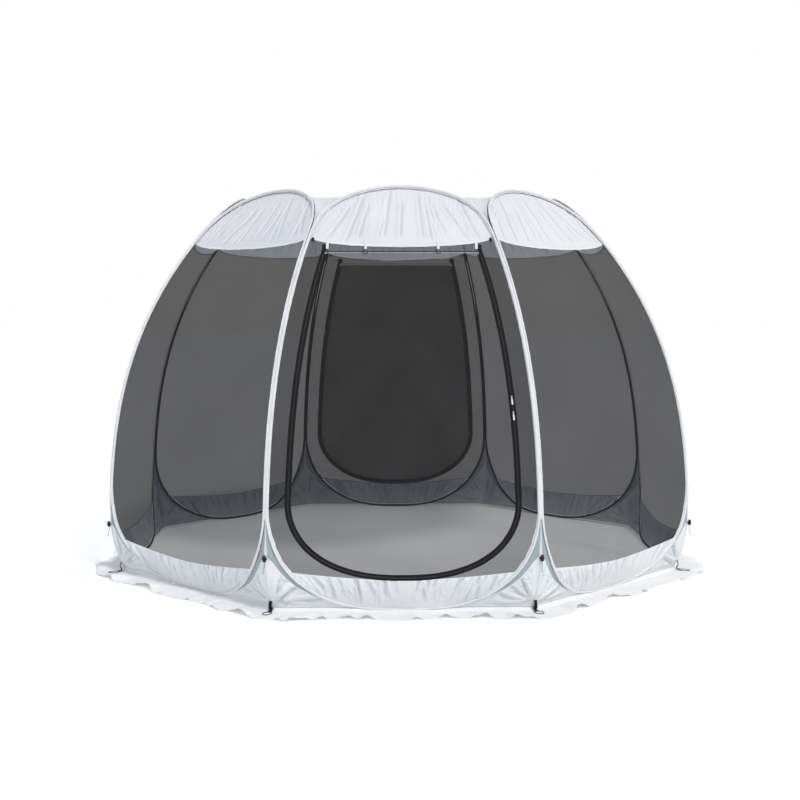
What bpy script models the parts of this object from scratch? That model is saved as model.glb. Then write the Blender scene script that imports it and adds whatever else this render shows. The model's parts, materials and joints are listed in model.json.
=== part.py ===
"""Pop-up eight-sided screen house: spring hoops, mesh walls, roof, doors and ground skirt.

Metres, +Z up, front door faces -Y, origin at the middle of the footprint on the ground.
Every side is one panel of the same vault: a curve in height carried straight across.
"""

import math

import bpy
from mathutils import Vector

# Overall shape
SIDES = 8
HALF = math.pi / SIDES
TOP_Z = 2.285
WALL_R = 1.75
LEAN = 0.773
LEAN_Z = 2.30
FOOT_TUCK = 0.085
FOOT_Z = 0.34

# Spring hoops
WIRE_R = 0.0020
WIRE_LIFT = 0.0060
SEAM_GAP = 0.007
FOOT_ARC = 0.55
CROWN_Z = 1.95
WIRE_FOOT = 0.0080

# Fabric
CLOTH = 0.0006
EDGE_OUT = 0.003
HEM_Z = 1.990
HEM_DIP = 0.050
HEM_LEVEL = 0.60
BUTT = 0.0035

# Door
DOOR_INSET = 0.115
DOOR_FOOT = 0.190
DOOR_ARC = 0.400
DOOR_TOP = 1.9085
ZIP_END = 1.9010
ZIP_HALF = 0.013
ZIP_GAP = 0.0015
RIDGE_HALF = 0.0025
RIDGE_UP = 0.0030

# Zip sliders and pulls
SLIDER_LONG = 0.028
SLIDER_WIDE = 0.016
SLIDER_UP = 0.0085
CHANNEL_HALF = 0.0045
UPPER_SLIDER_Z = 1.135
UPPER_SLIDER_END = 1.50
LOWER_SLIDER_Z = 1.055
LOWER_SLIDER_END = 0.72
PULL_LONG = 0.045
PULL_WIDE = 0.009
PULL_THICK = 0.0025
PULL_CLEAR = 0.0038

# Cap over the middle of the roof
CAP_MID_Z = 2.030
CAP_RINGS = 4

# Ground skirt and corners
SKIRT_IN = 0.016
SKIRT_FLAT = 0.040
SKIRT_MID = 0.110
SKIRT_OUT = 0.190
SKIRT_RISE = 0.012
PEG_OUT = 0.045
LOOP_WIDE = 0.042
LOOP_LONG = 0.060
LOOP_BAR = 0.0040

PANELS = [
    "front",
    "front_right",
    "right",
    "rear_right",
    "rear",
    "rear_left",
    "left",
    "front_left",
]
CORNERS = [
    "front_{}_right",
    "right_{}_front",
    "right_{}_rear",
    "rear_{}_right",
    "rear_{}_left",
    "left_{}_rear",
    "left_{}_front",
    "front_{}_left",
]


def clear_scene():
    for obj in list(bpy.data.objects):
        bpy.data.objects.remove(obj, do_unlink=True)


def material(name, color, roughness, metallic=0.0):
    made = bpy.data.materials.new(name)
    made.use_nodes = True
    shader = made.node_tree.nodes["Principled BSDF"]
    shader.inputs["Base Color"].default_value = (*color, 1.0)
    shader.inputs["Roughness"].default_value = roughness
    shader.inputs["Metallic"].default_value = metallic
    made.diffuse_color = (*color, 1.0)
    return made


# The vault that every panel lies on


def wall_r(z):
    """Distance from the middle to a panel at this height."""
    r = WALL_R - LEAN * (max(z, 0.0) / LEAN_Z) ** 3
    if z < FOOT_Z:
        r -= FOOT_TUCK * (1 - z / FOOT_Z) ** 2
    return r


def lean(z):
    return (wall_r(z + 0.002) - wall_r(z - 0.002)) / 0.004


def seam_u(z):
    """Half the width of a panel at this height, out to its seams."""
    return wall_r(z) * math.tan(HALF)


def frame_of(panel):
    turn = -math.pi / 2 + 2 * HALF * panel
    out = Vector((math.cos(turn), math.sin(turn), 0))
    across = Vector((-math.sin(turn), math.cos(turn), 0))
    return out, across


def normal_at(panel, z):
    out, across = frame_of(panel)
    slope = lean(z)
    return (out - Vector((0, 0, slope))).normalized()


def on_panel(panel, u, z, lift=0.0):
    out, across = frame_of(panel)
    return out * wall_r(z) + across * u + Vector((0, 0, z)) + normal_at(panel, z) * lift


def up_panel(panel, z):
    out, across = frame_of(panel)
    return (out * lean(z) + Vector((0, 0, 1))).normalized()


def foot_z(q):
    """Height of a hoop's foot where it is the share q of the full width."""
    return FOOT_ARC * (1 - math.sqrt(1 - q**2.8))


def crown_z(q):
    return CROWN_Z + (TOP_Z - CROWN_Z) * (1 - q * q) ** (1 / 3.7)


def hoop_u(z):
    """Half the width of a hoop at this height."""
    full = seam_u(z) - SEAM_GAP
    if z < FOOT_ARC:
        return full * (1 - ((FOOT_ARC - z) / FOOT_ARC) ** 2) ** (1 / 2.8)
    if z > CROWN_Z:
        rise = min((z - CROWN_Z) / (TOP_Z - CROWN_Z), 1.0)
        return full * math.sqrt(max(1 - rise**3.7, 0.0))
    return full


def hem_z(u):
    """The roof hem hangs level across the middle of a panel and climbs to each seam."""
    share = min(abs(u) / inner_u(HEM_Z), 1.0)
    climb = max(share - HEM_LEVEL, 0.0) / (1 - HEM_LEVEL)
    return HEM_Z - HEM_DIP * (1 - climb)


# Meshes


def make_object(name, points, faces, skin, smooth=True):
    mesh = bpy.data.meshes.new(name)
    mesh.from_pydata([tuple(p) for p in points], [], faces)
    mesh.update()
    mesh.polygons.foreach_set("use_smooth", [smooth] * len(mesh.polygons))
    mesh.materials.append(skin)
    obj = bpy.data.objects.new(name, mesh)
    bpy.context.scene.collection.objects.link(obj)
    return obj


def grid_normals(rows, wrap):
    """Unit normals of a grid of points, from its own neighbours."""
    high, wide = len(rows), len(rows[0])
    normals = []
    for i in range(high):
        line = []
        for j in range(wide):
            up = rows[min(i + 1, high - 1)][j] - rows[max(i - 1, 0)][j]
            if wrap:
                along = rows[i][(j + 1) % wide] - rows[i][j - 1]
            else:
                along = rows[i][min(j + 1, wide - 1)] - rows[i][max(j - 1, 0)]
            line.append(along.cross(up).normalized())
        normals.append(line)
    return normals


def slab(name, rows, skin, wrap=False, normals=None, thick=CLOTH):
    """A cloth of even thickness over a grid. Rows run along the cloth, and wrap closes them."""
    high, wide = len(rows), len(rows[0])
    normals = normals or grid_normals(rows, wrap)
    points = []
    for side in (0.5, -0.5):
        for i in range(high):
            for j in range(wide):
                points.append(rows[i][j] + normals[i][j] * thick * side)
    under = high * wide
    faces = []
    columns = wide if wrap else wide - 1
    for i in range(high - 1):
        for j in range(columns):
            a = i * wide + j
            b = i * wide + (j + 1) % wide
            # Both sides are split along the same diagonal, so a twisted cloth keeps its thickness.
            for corner in ((a, b, b + wide), (a, b + wide, a + wide)):
                faces.append(corner)
                faces.append(tuple(under + k for k in reversed(corner)))
    for j in range(columns):
        a = j
        b = (j + 1) % wide
        faces.append((b, a, under + a, under + b))
        c = (high - 1) * wide + j
        d = (high - 1) * wide + (j + 1) % wide
        faces.append((c, d, under + d, under + c))
    if not wrap:
        for i in range(high - 1):
            a = i * wide
            b = a + wide
            faces.append((a, b, under + b, under + a))
            c = a + wide - 1
            d = b + wide - 1
            faces.append((d, c, under + c, under + d))
    return make_object(name, points, faces, skin, smooth=False)


def sweep(name, path, frames, section, skin, closed=False, smooth=True):
    """Carries a section along a path. A frame is the pair of directions the section lies in."""
    count, sides = len(path), len(section)
    points = []
    for place, (x_axis, y_axis) in zip(path, frames):
        for x, y in section:
            points.append(place + x_axis * x + y_axis * y)
    faces = []
    for i in range(count if closed else count - 1):
        for j in range(sides):
            a = i * sides + j
            b = i * sides + (j + 1) % sides
            c = ((i + 1) % count) * sides + (j + 1) % sides
            d = ((i + 1) % count) * sides + j
            faces.append((a, b, c, d))
    if not closed:
        faces.append(tuple(reversed(range(sides))))
        faces.append(tuple((count - 1) * sides + j for j in range(sides)))
    return make_object(name, points, faces, skin, smooth)


def circle_section(radius, sides):
    turns = [2 * math.pi * k / sides for k in range(sides)]
    return [(radius * math.cos(t), radius * math.sin(t)) for t in turns]


def turned_outward(obj):
    """Flips the faces of a closed mesh that came out inside out."""
    mesh = obj.data
    mesh.calc_loop_triangles()
    volume = 0.0
    for triangle in mesh.loop_triangles:
        a, b, c = (mesh.vertices[k].co for k in triangle.vertices)
        volume += a.dot(b.cross(c))
    if volume < 0:
        mesh.flip_normals()
    return obj


def set_origin(obj, place):
    """Puts the object's origin at the place without moving its points."""
    for vertex in obj.data.vertices:
        vertex.co -= place
    obj.location = place
    return obj


# Hoops

FOOT_SHARES = [0.0, 0.20, 0.38, 0.55, 0.70, 0.82, 0.91]
CROWN_SHARES = [0.97, 0.90, 0.79, 0.63, 0.43, 0.22, 0.0]
SIDE_HEIGHTS = [0.40, 0.56, 0.74, 0.92, 1.10, 1.27, 1.43, 1.58, 1.72, 1.84, 1.94, 2.03]


def hoop_half():
    """(u, z) of a hoop's wire from the middle of its foot to the middle of its crown."""
    points = []
    for q in FOOT_SHARES:
        z = foot_z(q)
        points.append((q * (seam_u(z) - SEAM_GAP), z))
    for z in SIDE_HEIGHTS:
        points.append((hoop_u(z), z))
    for q in CROWN_SHARES:
        z = crown_z(q)
        points.append((q * (seam_u(z) - SEAM_GAP), z))
    return points


def hoop_loop():
    right = hoop_half()
    left = [(-u, z) for u, z in reversed(right[1:-1])]
    return right + left


def wire_point(panel, u, z):
    return on_panel(panel, u, z, WIRE_LIFT) + Vector((0, 0, WIRE_FOOT))


def make_hoop(panel, skin):
    loop = hoop_loop()
    path = [wire_point(panel, u, z) for u, z in loop]
    frames = []
    count = len(path)
    for i, (u, z) in enumerate(loop):
        along = (path[(i + 1) % count] - path[i - 1]).normalized()
        lift = normal_at(panel, z)
        lift = (lift - along * lift.dot(along)).normalized()
        frames.append((lift, along.cross(lift)))
    section = circle_section(WIRE_R, 6)
    return turned_outward(sweep(PANELS[panel] + "_hoop", path, frames, section, skin, closed=True))


# Walls, roof and gussets

WALL_FOOT_SHARES = [0.20, 0.38, 0.55, 0.70, 0.82, 0.91]
WALL_HEIGHTS = [0.40, 0.56, 0.74, 0.92, 1.10, 1.27, 1.43, 1.58, 1.72, 1.84]
ACROSS = [-1.0, -HEM_LEVEL, HEM_LEVEL, 1.0]


def inner_u(z):
    return hoop_u(z) + EDGE_OUT


def make_wall(panel, skin):
    rows = []
    for q in WALL_FOOT_SHARES:
        z = foot_z(q)
        u = q * (seam_u(z) - SEAM_GAP) + EDGE_OUT
        rows.append([on_panel(panel, u * k, z + WIRE_FOOT) for k in ACROSS])
    for z in WALL_HEIGHTS:
        rows.append([on_panel(panel, inner_u(z) * k, z) for k in ACROSS])
    top = []
    for k in ACROSS:
        u = inner_u(HEM_Z) * k
        top.append(on_panel(panel, u, hem_z(u) - BUTT))
    rows.append(top)
    return turned_outward(slab(PANELS[panel] + "_wall", rows, skin))


def make_lobe(panel, skin):
    crown = [0.93, 0.86, 0.76, 0.62, 0.44, 0.22]
    heights = [HEM_Z, 2.04] + [crown_z(q) - 0.004 for q in crown]
    top = heights[-1]
    rows = []
    for z in heights:
        edge = (seam_u(z) - SEAM_GAP) * (hoop_u(z + 0.004) / (seam_u(z + 0.004) - SEAM_GAP)) + EDGE_OUT
        fade = 1 - min((z - HEM_Z) / (top - HEM_Z), 1.0)
        row = []
        for k in ACROSS:
            drop = HEM_Z - hem_z(inner_u(HEM_Z) * k)
            row.append(on_panel(panel, edge * k, z - drop * fade))
        rows.append(row)
    return turned_outward(slab(PANELS[panel] + "_roof_lobe", rows, skin))


def make_gusset(corner, skin):
    first, second = corner, (corner + 1) % SIDES
    clear = 0.0075
    rows = []
    levels = []
    for q in WALL_FOOT_SHARES[1:]:
        z = foot_z(q)
        levels.append((q * (seam_u(z) - SEAM_GAP), z + WIRE_FOOT, seam_u(z)))
    levels.append((hoop_u(WALL_HEIGHTS[0]), WALL_HEIGHTS[0], seam_u(WALL_HEIGHTS[0])))
    for hoop, low, end in levels:
        edge = hoop + clear
        row = []
        for k in (0.0, 0.6):
            row.append(on_panel(first, edge + (end - edge) * k, low))
        ridge = (on_panel(first, end, low) + on_panel(second, -end, low)) / 2
        row.append(ridge)
        for k in (0.6, 0.0):
            row.append(on_panel(second, -edge - (end - edge) * k, low))
        rows.append(row)
    name = CORNERS[corner].format("gusset")
    return turned_outward(slab(name, rows, skin))


def make_cap(skin):
    """The middle of the roof, hung from all eight crowns and dipping to its centre."""
    rim = []
    for panel in range(SIDES):
        out, across = frame_of(panel)
        for q in (-0.955, -0.80, -0.45, 0.0, 0.45, 0.80, 0.955):
            z = crown_z(abs(q))
            u = q * (seam_u(z) - SEAM_GAP) * 0.985
            place = on_panel(panel, u, z + WIRE_FOOT, -0.004)
            inward = Vector((place.x, place.y, 0)).normalized()
            rim.append(place - inward * 0.010)
    rows = []
    for ring in range(CAP_RINGS + 1):
        share = 0.03 + 0.97 * (ring / CAP_RINGS)
        line = []
        for p in rim:
            z = CAP_MID_Z + (p.z - CAP_MID_Z) * share**1.6
            line.append(Vector((p.x * share, p.y * share, z)))
        rows.append(line)
    points = []
    for side in (0.5, -0.5):
        for line in rows:
            for p in line:
                points.append(p + Vector((0, 0, CLOTH * side)))
        points.append(Vector((0, 0, CAP_MID_Z + CLOTH * side)))
    wide = len(rim)
    per_side = len(rows) * wide + 1
    faces = []
    for i in range(len(rows) - 1):
        for j in range(wide):
            a = i * wide + j
            b = i * wide + (j + 1) % wide
            for corner in ((a, b, b + wide), (a, b + wide, a + wide)):
                faces.append(corner)
                faces.append(tuple(per_side + k for k in reversed(corner)))
    for j in range(wide):
        k = (j + 1) % wide
        faces.append((per_side - 1, k, j))
        faces.append((2 * per_side - 1, per_side + j, per_side + k))
        last = (len(rows) - 1) * wide
        faces.append((last + j, last + k, per_side + last + k, per_side + last + j))
    return turned_outward(make_object("roof_cap", points, faces, skin, smooth=False))


def make_skirt(skin):
    """One ring of cloth lying on the ground outside the hoops' feet."""
    shares = [-1.0, -0.67, -0.33, 0.0, 0.33, 0.67]
    rows = []
    for reach, height in (
        (SKIRT_IN, SKIRT_RISE),
        (SKIRT_FLAT, CLOTH / 2),
        (SKIRT_MID, CLOTH / 2),
        (SKIRT_OUT, CLOTH / 2),
    ):
        line = []
        for panel in range(SIDES):
            out, across = frame_of(panel)
            r = wall_r(0.0) + reach
            if reach == SKIRT_IN:
                r = wall_r(0.0) + WIRE_LIFT + reach
            half = r * math.tan(HALF)
            for k in shares:
                swell = 0.0
                if reach == SKIRT_OUT:
                    swell = 0.014 * math.cos(3 * math.pi * k)
                line.append(out * (r + swell) + across * (half * k) + Vector((0, 0, height)))
        rows.append(line)
    up = [[Vector((0, 0, 1))] * len(rows[0]) for row in rows]
    return turned_outward(slab("ground_skirt", rows, skin, wrap=True, normals=up))


# Doors and zips


def door_u(z):
    full = seam_u(z) - DOOR_INSET
    middle = DOOR_FOOT + DOOR_ARC
    if z < middle:
        return full * max(1 - ((middle - z) / DOOR_ARC) ** 2, 0.0) ** (1 / 2.4)
    return full


def door_line(top=DOOR_TOP):
    """(u, z) along the middle of the zip, from the middle of the foot to the top at the right."""
    points = []
    for q in (0.0, 0.22, 0.42, 0.60, 0.76, 0.88, 0.95):
        z = DOOR_FOOT + DOOR_ARC * (1 - math.sqrt(1 - q**2.4))
        points.append((q * (seam_u(z) - DOOR_INSET), z))
    for z in (0.50, 0.62, 0.77, 0.93, 1.10, 1.27, 1.43, 1.58, 1.72, 1.83, top):
        points.append((door_u(z), z))
    return points


def door_offset(points, amount):
    """The same line moved across itself within the panel. A positive amount is away from the door."""
    moved = []
    for i, (u, z) in enumerate(points):
        before = points[max(i - 1, 0)]
        after = points[min(i + 1, len(points) - 1)]
        stretch = math.sqrt(1 + lean(z) ** 2)
        du = after[0] - before[0]
        dw = (after[1] - before[1]) * stretch
        if i == 0:
            dw = 0.0
        size = math.hypot(du, dw)
        moved.append((u + amount * dw / size, z - amount * du / size / stretch))
    return moved


def door_surround(panel, skin):
    hole = door_offset(door_line(), ZIP_HALF + ZIP_GAP)
    hole[-1] = (hole[-1][0], DOOR_TOP + ZIP_GAP)
    outer = []
    for q in FOOT_SHARES:
        z = foot_z(q)
        u = q * (seam_u(z) - SEAM_GAP) + (EDGE_OUT if q else 0.0)
        outer.append((u, z + WIRE_FOOT + (0.003 if q < 0.1 else 0.0)))
    for z in WALL_HEIGHTS:
        outer.append((inner_u(z), z))
    corner = inner_u(HEM_Z)
    outer.append((corner, hem_z(corner) - BUTT))
    for k in (HEM_LEVEL, 0.3, 0.0):
        outer.append((corner * k, hem_z(corner * k) - BUTT))
        hole.append((corner * k, DOOR_TOP + ZIP_GAP))
    loops = []
    for half in (outer, hole):
        loops.append(half + [(-u, z) for u, z in reversed(half[1:-1])])
    rows = []
    for share in (0.0, 0.5, 1.0):
        line = []
        for (u0, z0), (u1, z1) in zip(*loops):
            u = u0 + (u1 - u0) * share
            z = z0 + (z1 - z0) * share
            line.append(on_panel(panel, u, z))
        rows.append(line)
    normals = []
    for share in (0.0, 0.5, 1.0):
        normals.append(
            [normal_at(panel, z0 + (z1 - z0) * share) for (u0, z0), (u1, z1) in zip(*loops)]
        )
    name = PANELS[panel] + "_wall"
    return turned_outward(slab(name, rows, skin, wrap=True, normals=normals))


def make_door(panel, skin):
    edge = door_offset(door_line(), -(ZIP_HALF + ZIP_GAP))
    rows = []
    for u, z in edge[1:]:
        rows.append([on_panel(panel, u * k, z) for k in ACROSS])
    obj = turned_outward(slab(PANELS[panel] + "_door", rows, skin))
    return set_origin(obj, on_panel(panel, 0, DOOR_TOP))


def zip_loop():
    right = door_line(ZIP_END)
    left = [(-u, z) for u, z in reversed(right)]
    return left[:-1] + right


def make_zip(panel, skin):
    loop = zip_loop()
    path = [on_panel(panel, u, z) for u, z in loop]
    frames = []
    for i, (u, z) in enumerate(loop):
        along = path[min(i + 1, len(path) - 1)] - path[max(i - 1, 0)]
        lift = normal_at(panel, z)
        frames.append((along.cross(lift).normalized(), lift))
    flat = CLOTH / 2
    ridge = flat + RIDGE_UP
    section = [
        (-ZIP_HALF, -flat),
        (ZIP_HALF, -flat),
        (ZIP_HALF, flat),
        (RIDGE_HALF, flat),
        (RIDGE_HALF * 0.7, ridge),
        (-RIDGE_HALF * 0.7, ridge),
        (-RIDGE_HALF, flat),
        (-ZIP_HALF, flat),
    ]
    name = PANELS[panel] + "_door_zip"
    return turned_outward(sweep(name, path, frames, section, skin, smooth=False))


def zip_frame(panel, z):
    """(place, along the zip upward, across it, out from it) on the right-hand side of a door."""
    place = on_panel(panel, door_u(z), z)
    along = on_panel(panel, door_u(z + 0.01), z + 0.01) - on_panel(panel, door_u(z - 0.01), z - 0.01)
    along = along.normalized()
    lift = normal_at(panel, z)
    lift = (lift - along * lift.dot(along)).normalized()
    return place, along, along.cross(lift), lift


def circle_through(a, b, c):
    """(centre, axis) of the circle through three points."""
    ab, ac = b - a, c - a
    axis = ab.cross(ac)
    toward = axis.cross(ab) * ac.length_squared + ac.cross(axis) * ab.length_squared
    return a + toward / (2 * axis.length_squared), axis.normalized()


def slider_axis(panel, z_rest, z_end):
    places = []
    for z in (z_rest, (z_rest + z_end) / 2, z_end):
        places.append(on_panel(panel, door_u(z), z))
    return circle_through(*places)


def make_slider(panel, which, z_rest, z_end, skin):
    place, along, across, lift = zip_frame(panel, z_rest)
    low = CLOTH / 2 + 0.0012
    roof = CLOTH / 2 + RIDGE_UP + 0.0015
    top = CLOTH / 2 + SLIDER_UP
    half = SLIDER_WIDE / 2
    section = [
        (-half, low),
        (-CHANNEL_HALF, low),
        (-CHANNEL_HALF, roof),
        (CHANNEL_HALF, roof),
        (CHANNEL_HALF, low),
        (half, low),
        (half, top - 0.002),
        (half * 0.6, top),
        (-half * 0.6, top),
        (-half, top - 0.002),
    ]
    path = [place - along * SLIDER_LONG / 2, place + along * SLIDER_LONG / 2]
    name = "{}_zip_slider_{}".format(PANELS[panel], which)
    obj = turned_outward(sweep(name, path, [(across, lift)] * 2, section, skin, smooth=False))
    centre, axis = slider_axis(panel, z_rest, z_end)
    return set_origin(obj, centre)


def pull_pivot(panel, z_rest):
    place, along, across, lift = zip_frame(panel, z_rest)
    return place + along * 0.006 + lift * (CLOTH / 2 + SLIDER_UP + PULL_CLEAR), along, across, lift


def make_pull(panel, which, z_rest, skin):
    """A tab with a rounded end that hangs from the slider's bridge."""
    pivot, along, across, lift = pull_pivot(panel, z_rest)
    outline = []
    half = PULL_WIDE / 2
    for step in range(7):
        turn = math.pi * step / 6
        outline.append((half * math.cos(turn), half * math.sin(turn) * 0.6))
    for step in range(7):
        turn = math.pi * (1 + step / 6)
        outline.append((half * math.cos(turn), -PULL_LONG + half + half * math.sin(turn)))
    points = []
    for side in (0.5, -0.5):
        for x, y in outline:
            points.append(pivot + across * x + along * y + lift * PULL_THICK * side)
    count = len(outline)
    faces = [tuple(range(count)), tuple(reversed(range(count, 2 * count)))]
    for k in range(count):
        j = (k + 1) % count
        faces.append((j, k, count + k, count + j))
    name = "{}_zip_pull_{}".format(PANELS[panel], which)
    obj = turned_outward(make_object(name, points, faces, skin, smooth=False))
    return set_origin(obj, pivot)


# Small fittings


def make_tie(number, u, skin):
    """A short strap on the front hem that holds the rolled-up door."""
    z_top = 1.968
    long = 0.050
    pivot = on_panel(0, u, z_top, 0.0055)
    out, across = frame_of(0)
    z_mid = z_top - long / 2
    down = up_panel(0, z_mid) * -1
    lift = normal_at(0, z_mid)
    outline = [(-0.006, 0.004), (0.006, 0.004), (0.006, -0.036), (0.010, -0.040), (0.010, -0.048)]
    outline += [(-0.010, -0.048), (-0.010, -0.040), (-0.006, -0.036)]
    points = []
    for side in (0.5, -0.5):
        for x, y in outline:
            points.append(pivot + across * x - down * y + lift * 0.002 * side)
    count = len(outline)
    faces = [tuple(range(count)), tuple(reversed(range(count, 2 * count)))]
    for k in range(count):
        j = (k + 1) % count
        faces.append((j, k, count + k, count + j))
    obj = turned_outward(make_object("door_tie_{}".format(number), points, faces, skin, smooth=False))
    return set_origin(obj, pivot)


def corner_frame(corner):
    turn = -math.pi / 2 + 2 * HALF * corner + HALF
    out = Vector((math.cos(turn), math.sin(turn), 0))
    across = Vector((-math.sin(turn), math.cos(turn), 0))
    return out, across


def make_peg_loop(corner, skin):
    """A flat loop that lies on the skirt at a corner and takes a ground peg."""
    out, across = corner_frame(corner)
    start = (wall_r(0.0) + PEG_OUT) / math.cos(HALF)
    lift = CLOTH + 0.0012 + LOOP_BAR / 2
    base = out * start + Vector((0, 0, lift))
    rows = []
    half_w = LOOP_WIDE / 2
    ring = []
    for step in range(14):
        turn = 2 * math.pi * step / 14
        x = half_w * math.copysign(abs(math.cos(turn)) ** 0.6, math.cos(turn))
        y = LOOP_LONG / 2 + LOOP_LONG / 2 * math.copysign(abs(math.sin(turn)) ** 0.6, math.sin(turn))
        if math.sin(turn) > 0:
            x *= 1 - 0.45 * math.sin(turn)
        ring.append(base + across * x + out * y)
    frames = []
    for i, p in enumerate(ring):
        along = (ring[(i + 1) % len(ring)] - ring[i - 1]).normalized()
        frames.append((Vector((0, 0, 1)), along.cross(Vector((0, 0, 1)))))
    section = circle_section(LOOP_BAR / 2, 5)
    name = CORNERS[corner].format("peg_loop")
    obj = turned_outward(sweep(name, ring, frames, section, skin, closed=True))
    return set_origin(obj, base)


def make_lantern_loop(skin):
    pivot = Vector((0, 0, CAP_MID_Z - 0.004))
    ring = []
    for step in range(16):
        turn = 2 * math.pi * step / 16
        ring.append(pivot + Vector((0.019 * math.sin(turn), 0, -0.024 + 0.021 * math.cos(turn))))
    frames = []
    for i in range(len(ring)):
        along = (ring[(i + 1) % len(ring)] - ring[i - 1]).normalized()
        side = Vector((0, 1, 0))
        frames.append((side, along.cross(side)))
    obj = turned_outward(
        sweep("lantern_loop", ring, frames, circle_section(0.0015, 6), skin, closed=True)
    )
    return set_origin(obj, pivot)


def main():
    clear_scene()
    steel = material("Spring steel", (0.32, 0.33, 0.34), 0.35, 1.0)
    netting = material("Dark grey netting", (0.10, 0.10, 0.105), 0.85)
    silver = material("Silver white cloth", (0.78, 0.79, 0.81), 0.65)
    cap_cloth = material("Roof cap cloth", (0.74, 0.75, 0.78), 0.65)
    ground = material("Ground skirt cloth", (0.80, 0.80, 0.80), 0.70)
    leaf = material("Door netting", (0.08, 0.08, 0.085), 0.85)
    tape = material("Black zip tape", (0.02, 0.02, 0.022), 0.70)
    black = material("Black plastic", (0.03, 0.03, 0.03), 0.45)
    white = material("White webbing", (0.85, 0.85, 0.83), 0.75)
    for panel in range(SIDES):
        make_hoop(panel, steel)
        make_lobe(panel, silver)
        make_gusset(panel, silver)
        make_peg_loop(panel, black)
        if panel in (0, 4):
            door_surround(panel, netting)
            make_door(panel, leaf)
            make_zip(panel, tape)
            make_slider(panel, "upper", UPPER_SLIDER_Z, UPPER_SLIDER_END, black)
            make_slider(panel, "lower", LOWER_SLIDER_Z, LOWER_SLIDER_END, black)
            make_pull(panel, "upper", UPPER_SLIDER_Z, white)
            make_pull(panel, "lower", LOWER_SLIDER_Z, white)
        else:
            make_wall(panel, netting)
    make_cap(cap_cloth)
    make_skirt(ground)
    make_lantern_loop(white)
    for number, u in enumerate((-0.41, -0.20, 0.20, 0.41)):
        make_tie(number + 1, u, white)


main()
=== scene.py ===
"""Looks of the pop-up screen house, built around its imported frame.

Metres, +Z up, front door faces -Y, origin at the middle of the footprint on the ground.
Every side is one panel of the same vault, so each cloth is placed by the vault's own formulas.
"""

import json
import math

import bpy
import numpy as np
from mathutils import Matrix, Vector

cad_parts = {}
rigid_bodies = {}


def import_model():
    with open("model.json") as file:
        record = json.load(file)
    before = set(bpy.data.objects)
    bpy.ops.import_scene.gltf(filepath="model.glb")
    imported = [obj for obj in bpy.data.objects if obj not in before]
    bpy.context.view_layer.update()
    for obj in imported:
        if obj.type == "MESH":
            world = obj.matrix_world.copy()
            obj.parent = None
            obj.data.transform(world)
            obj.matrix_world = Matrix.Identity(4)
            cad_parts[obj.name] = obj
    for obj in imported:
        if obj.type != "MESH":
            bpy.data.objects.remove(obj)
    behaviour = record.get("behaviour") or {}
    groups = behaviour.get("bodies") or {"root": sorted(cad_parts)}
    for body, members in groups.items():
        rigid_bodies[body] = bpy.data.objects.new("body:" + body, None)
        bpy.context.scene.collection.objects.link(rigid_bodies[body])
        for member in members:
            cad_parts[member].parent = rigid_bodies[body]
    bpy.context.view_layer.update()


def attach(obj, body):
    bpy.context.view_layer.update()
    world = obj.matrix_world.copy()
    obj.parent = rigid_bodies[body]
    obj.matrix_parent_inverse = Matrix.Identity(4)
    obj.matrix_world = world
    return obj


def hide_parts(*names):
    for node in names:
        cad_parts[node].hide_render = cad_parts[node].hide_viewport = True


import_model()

# The vault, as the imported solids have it
SIDES = 8
HALF = math.pi / SIDES
TOP_Z = 2.285
WALL_R = 1.75
LEAN = 0.773
LEAN_Z = 2.30
FOOT_TUCK = 0.085
FOOT_Z = 0.34
WIRE_LIFT = 0.0060
SEAM_GAP = 0.007
FOOT_ARC = 0.55
CROWN_Z = 1.95
WIRE_FOOT = 0.0080
EDGE_OUT = 0.003
HEM_Z = 1.990
HEM_DIP = 0.050
DOOR_INSET = 0.115
DOOR_FOOT = 0.190
DOOR_ARC = 0.400
DOOR_TOP = 1.9085
CAP_MID_Z = 2.030
PEG_OUT = 0.045
LOOP_WIDE = 0.042
LOOP_LONG = 0.060
ZIP_HALF = 0.013
SLIDER_LONG = 0.028
SLIDER_TOP = 0.0088
PULL_LONG = 0.045
PULL_UP = 0.0126
PIN_UP = 0.006
SLIDER_Z = {"upper": 1.135, "lower": 1.055}
TIE_Z = 1.968

# Cloth around the wires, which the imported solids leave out
SLEEVE_WIDE = 0.0128
SLEEVE_HIGH = 0.0116
SLEEVE_STITCH = 0.0366
BAND_END = 0.83
CROWN_POWER = 3.7
FOOT_POWER = 2.8
FLANGE_SIDE = 0.0025
FLANGE_FOOT = 0.0060
FLANGE_CROWN = 0.0045
WIRE_THICK = 0.004
HOOP_STEP = 0.0065

# Strips: width, thickness and the radius of their corners
SEAM_TAPE = (0.0150, 0.0014, 0.0006)
HEM_STRIP = (0.0150, 0.0030, 0.0013)
DOOR_HEADER = (0.0050, 0.0020, 0.0008)
CAP_SEAM = (0.014, 0.0016, 0.0007)
RIDGE_SEAM = (0.0050, 0.0022, 0.0010)
SLEEVE_SEAM = (0.0072, 0.0060, 0.0018)
ZIP_END_TAPE = (0.034, 0.0018, 0.0008)
SLIDER_CHEEK = (0.0034, 0.0014, 0.0005)
TIE_STRAP = (0.0150, 0.0018, 0.0008)
TIE_HEM = (0.0148, 0.0016, 0.0008)
PEG_STRAP = (0.0190, 0.0016, 0.0007)
BUCKLE_BAR = (0.0042, 0.0024, 0.0008)

# How far the nettings lap under the hem, the zip and the band, and how far they lie behind
NET_LAP = 0.010
SURROUND_LAP = 0.006
ZIP_LAP = 0.004
BEHIND_BAND = 0.0014
BEHIND_HEM = 0.0018

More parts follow.
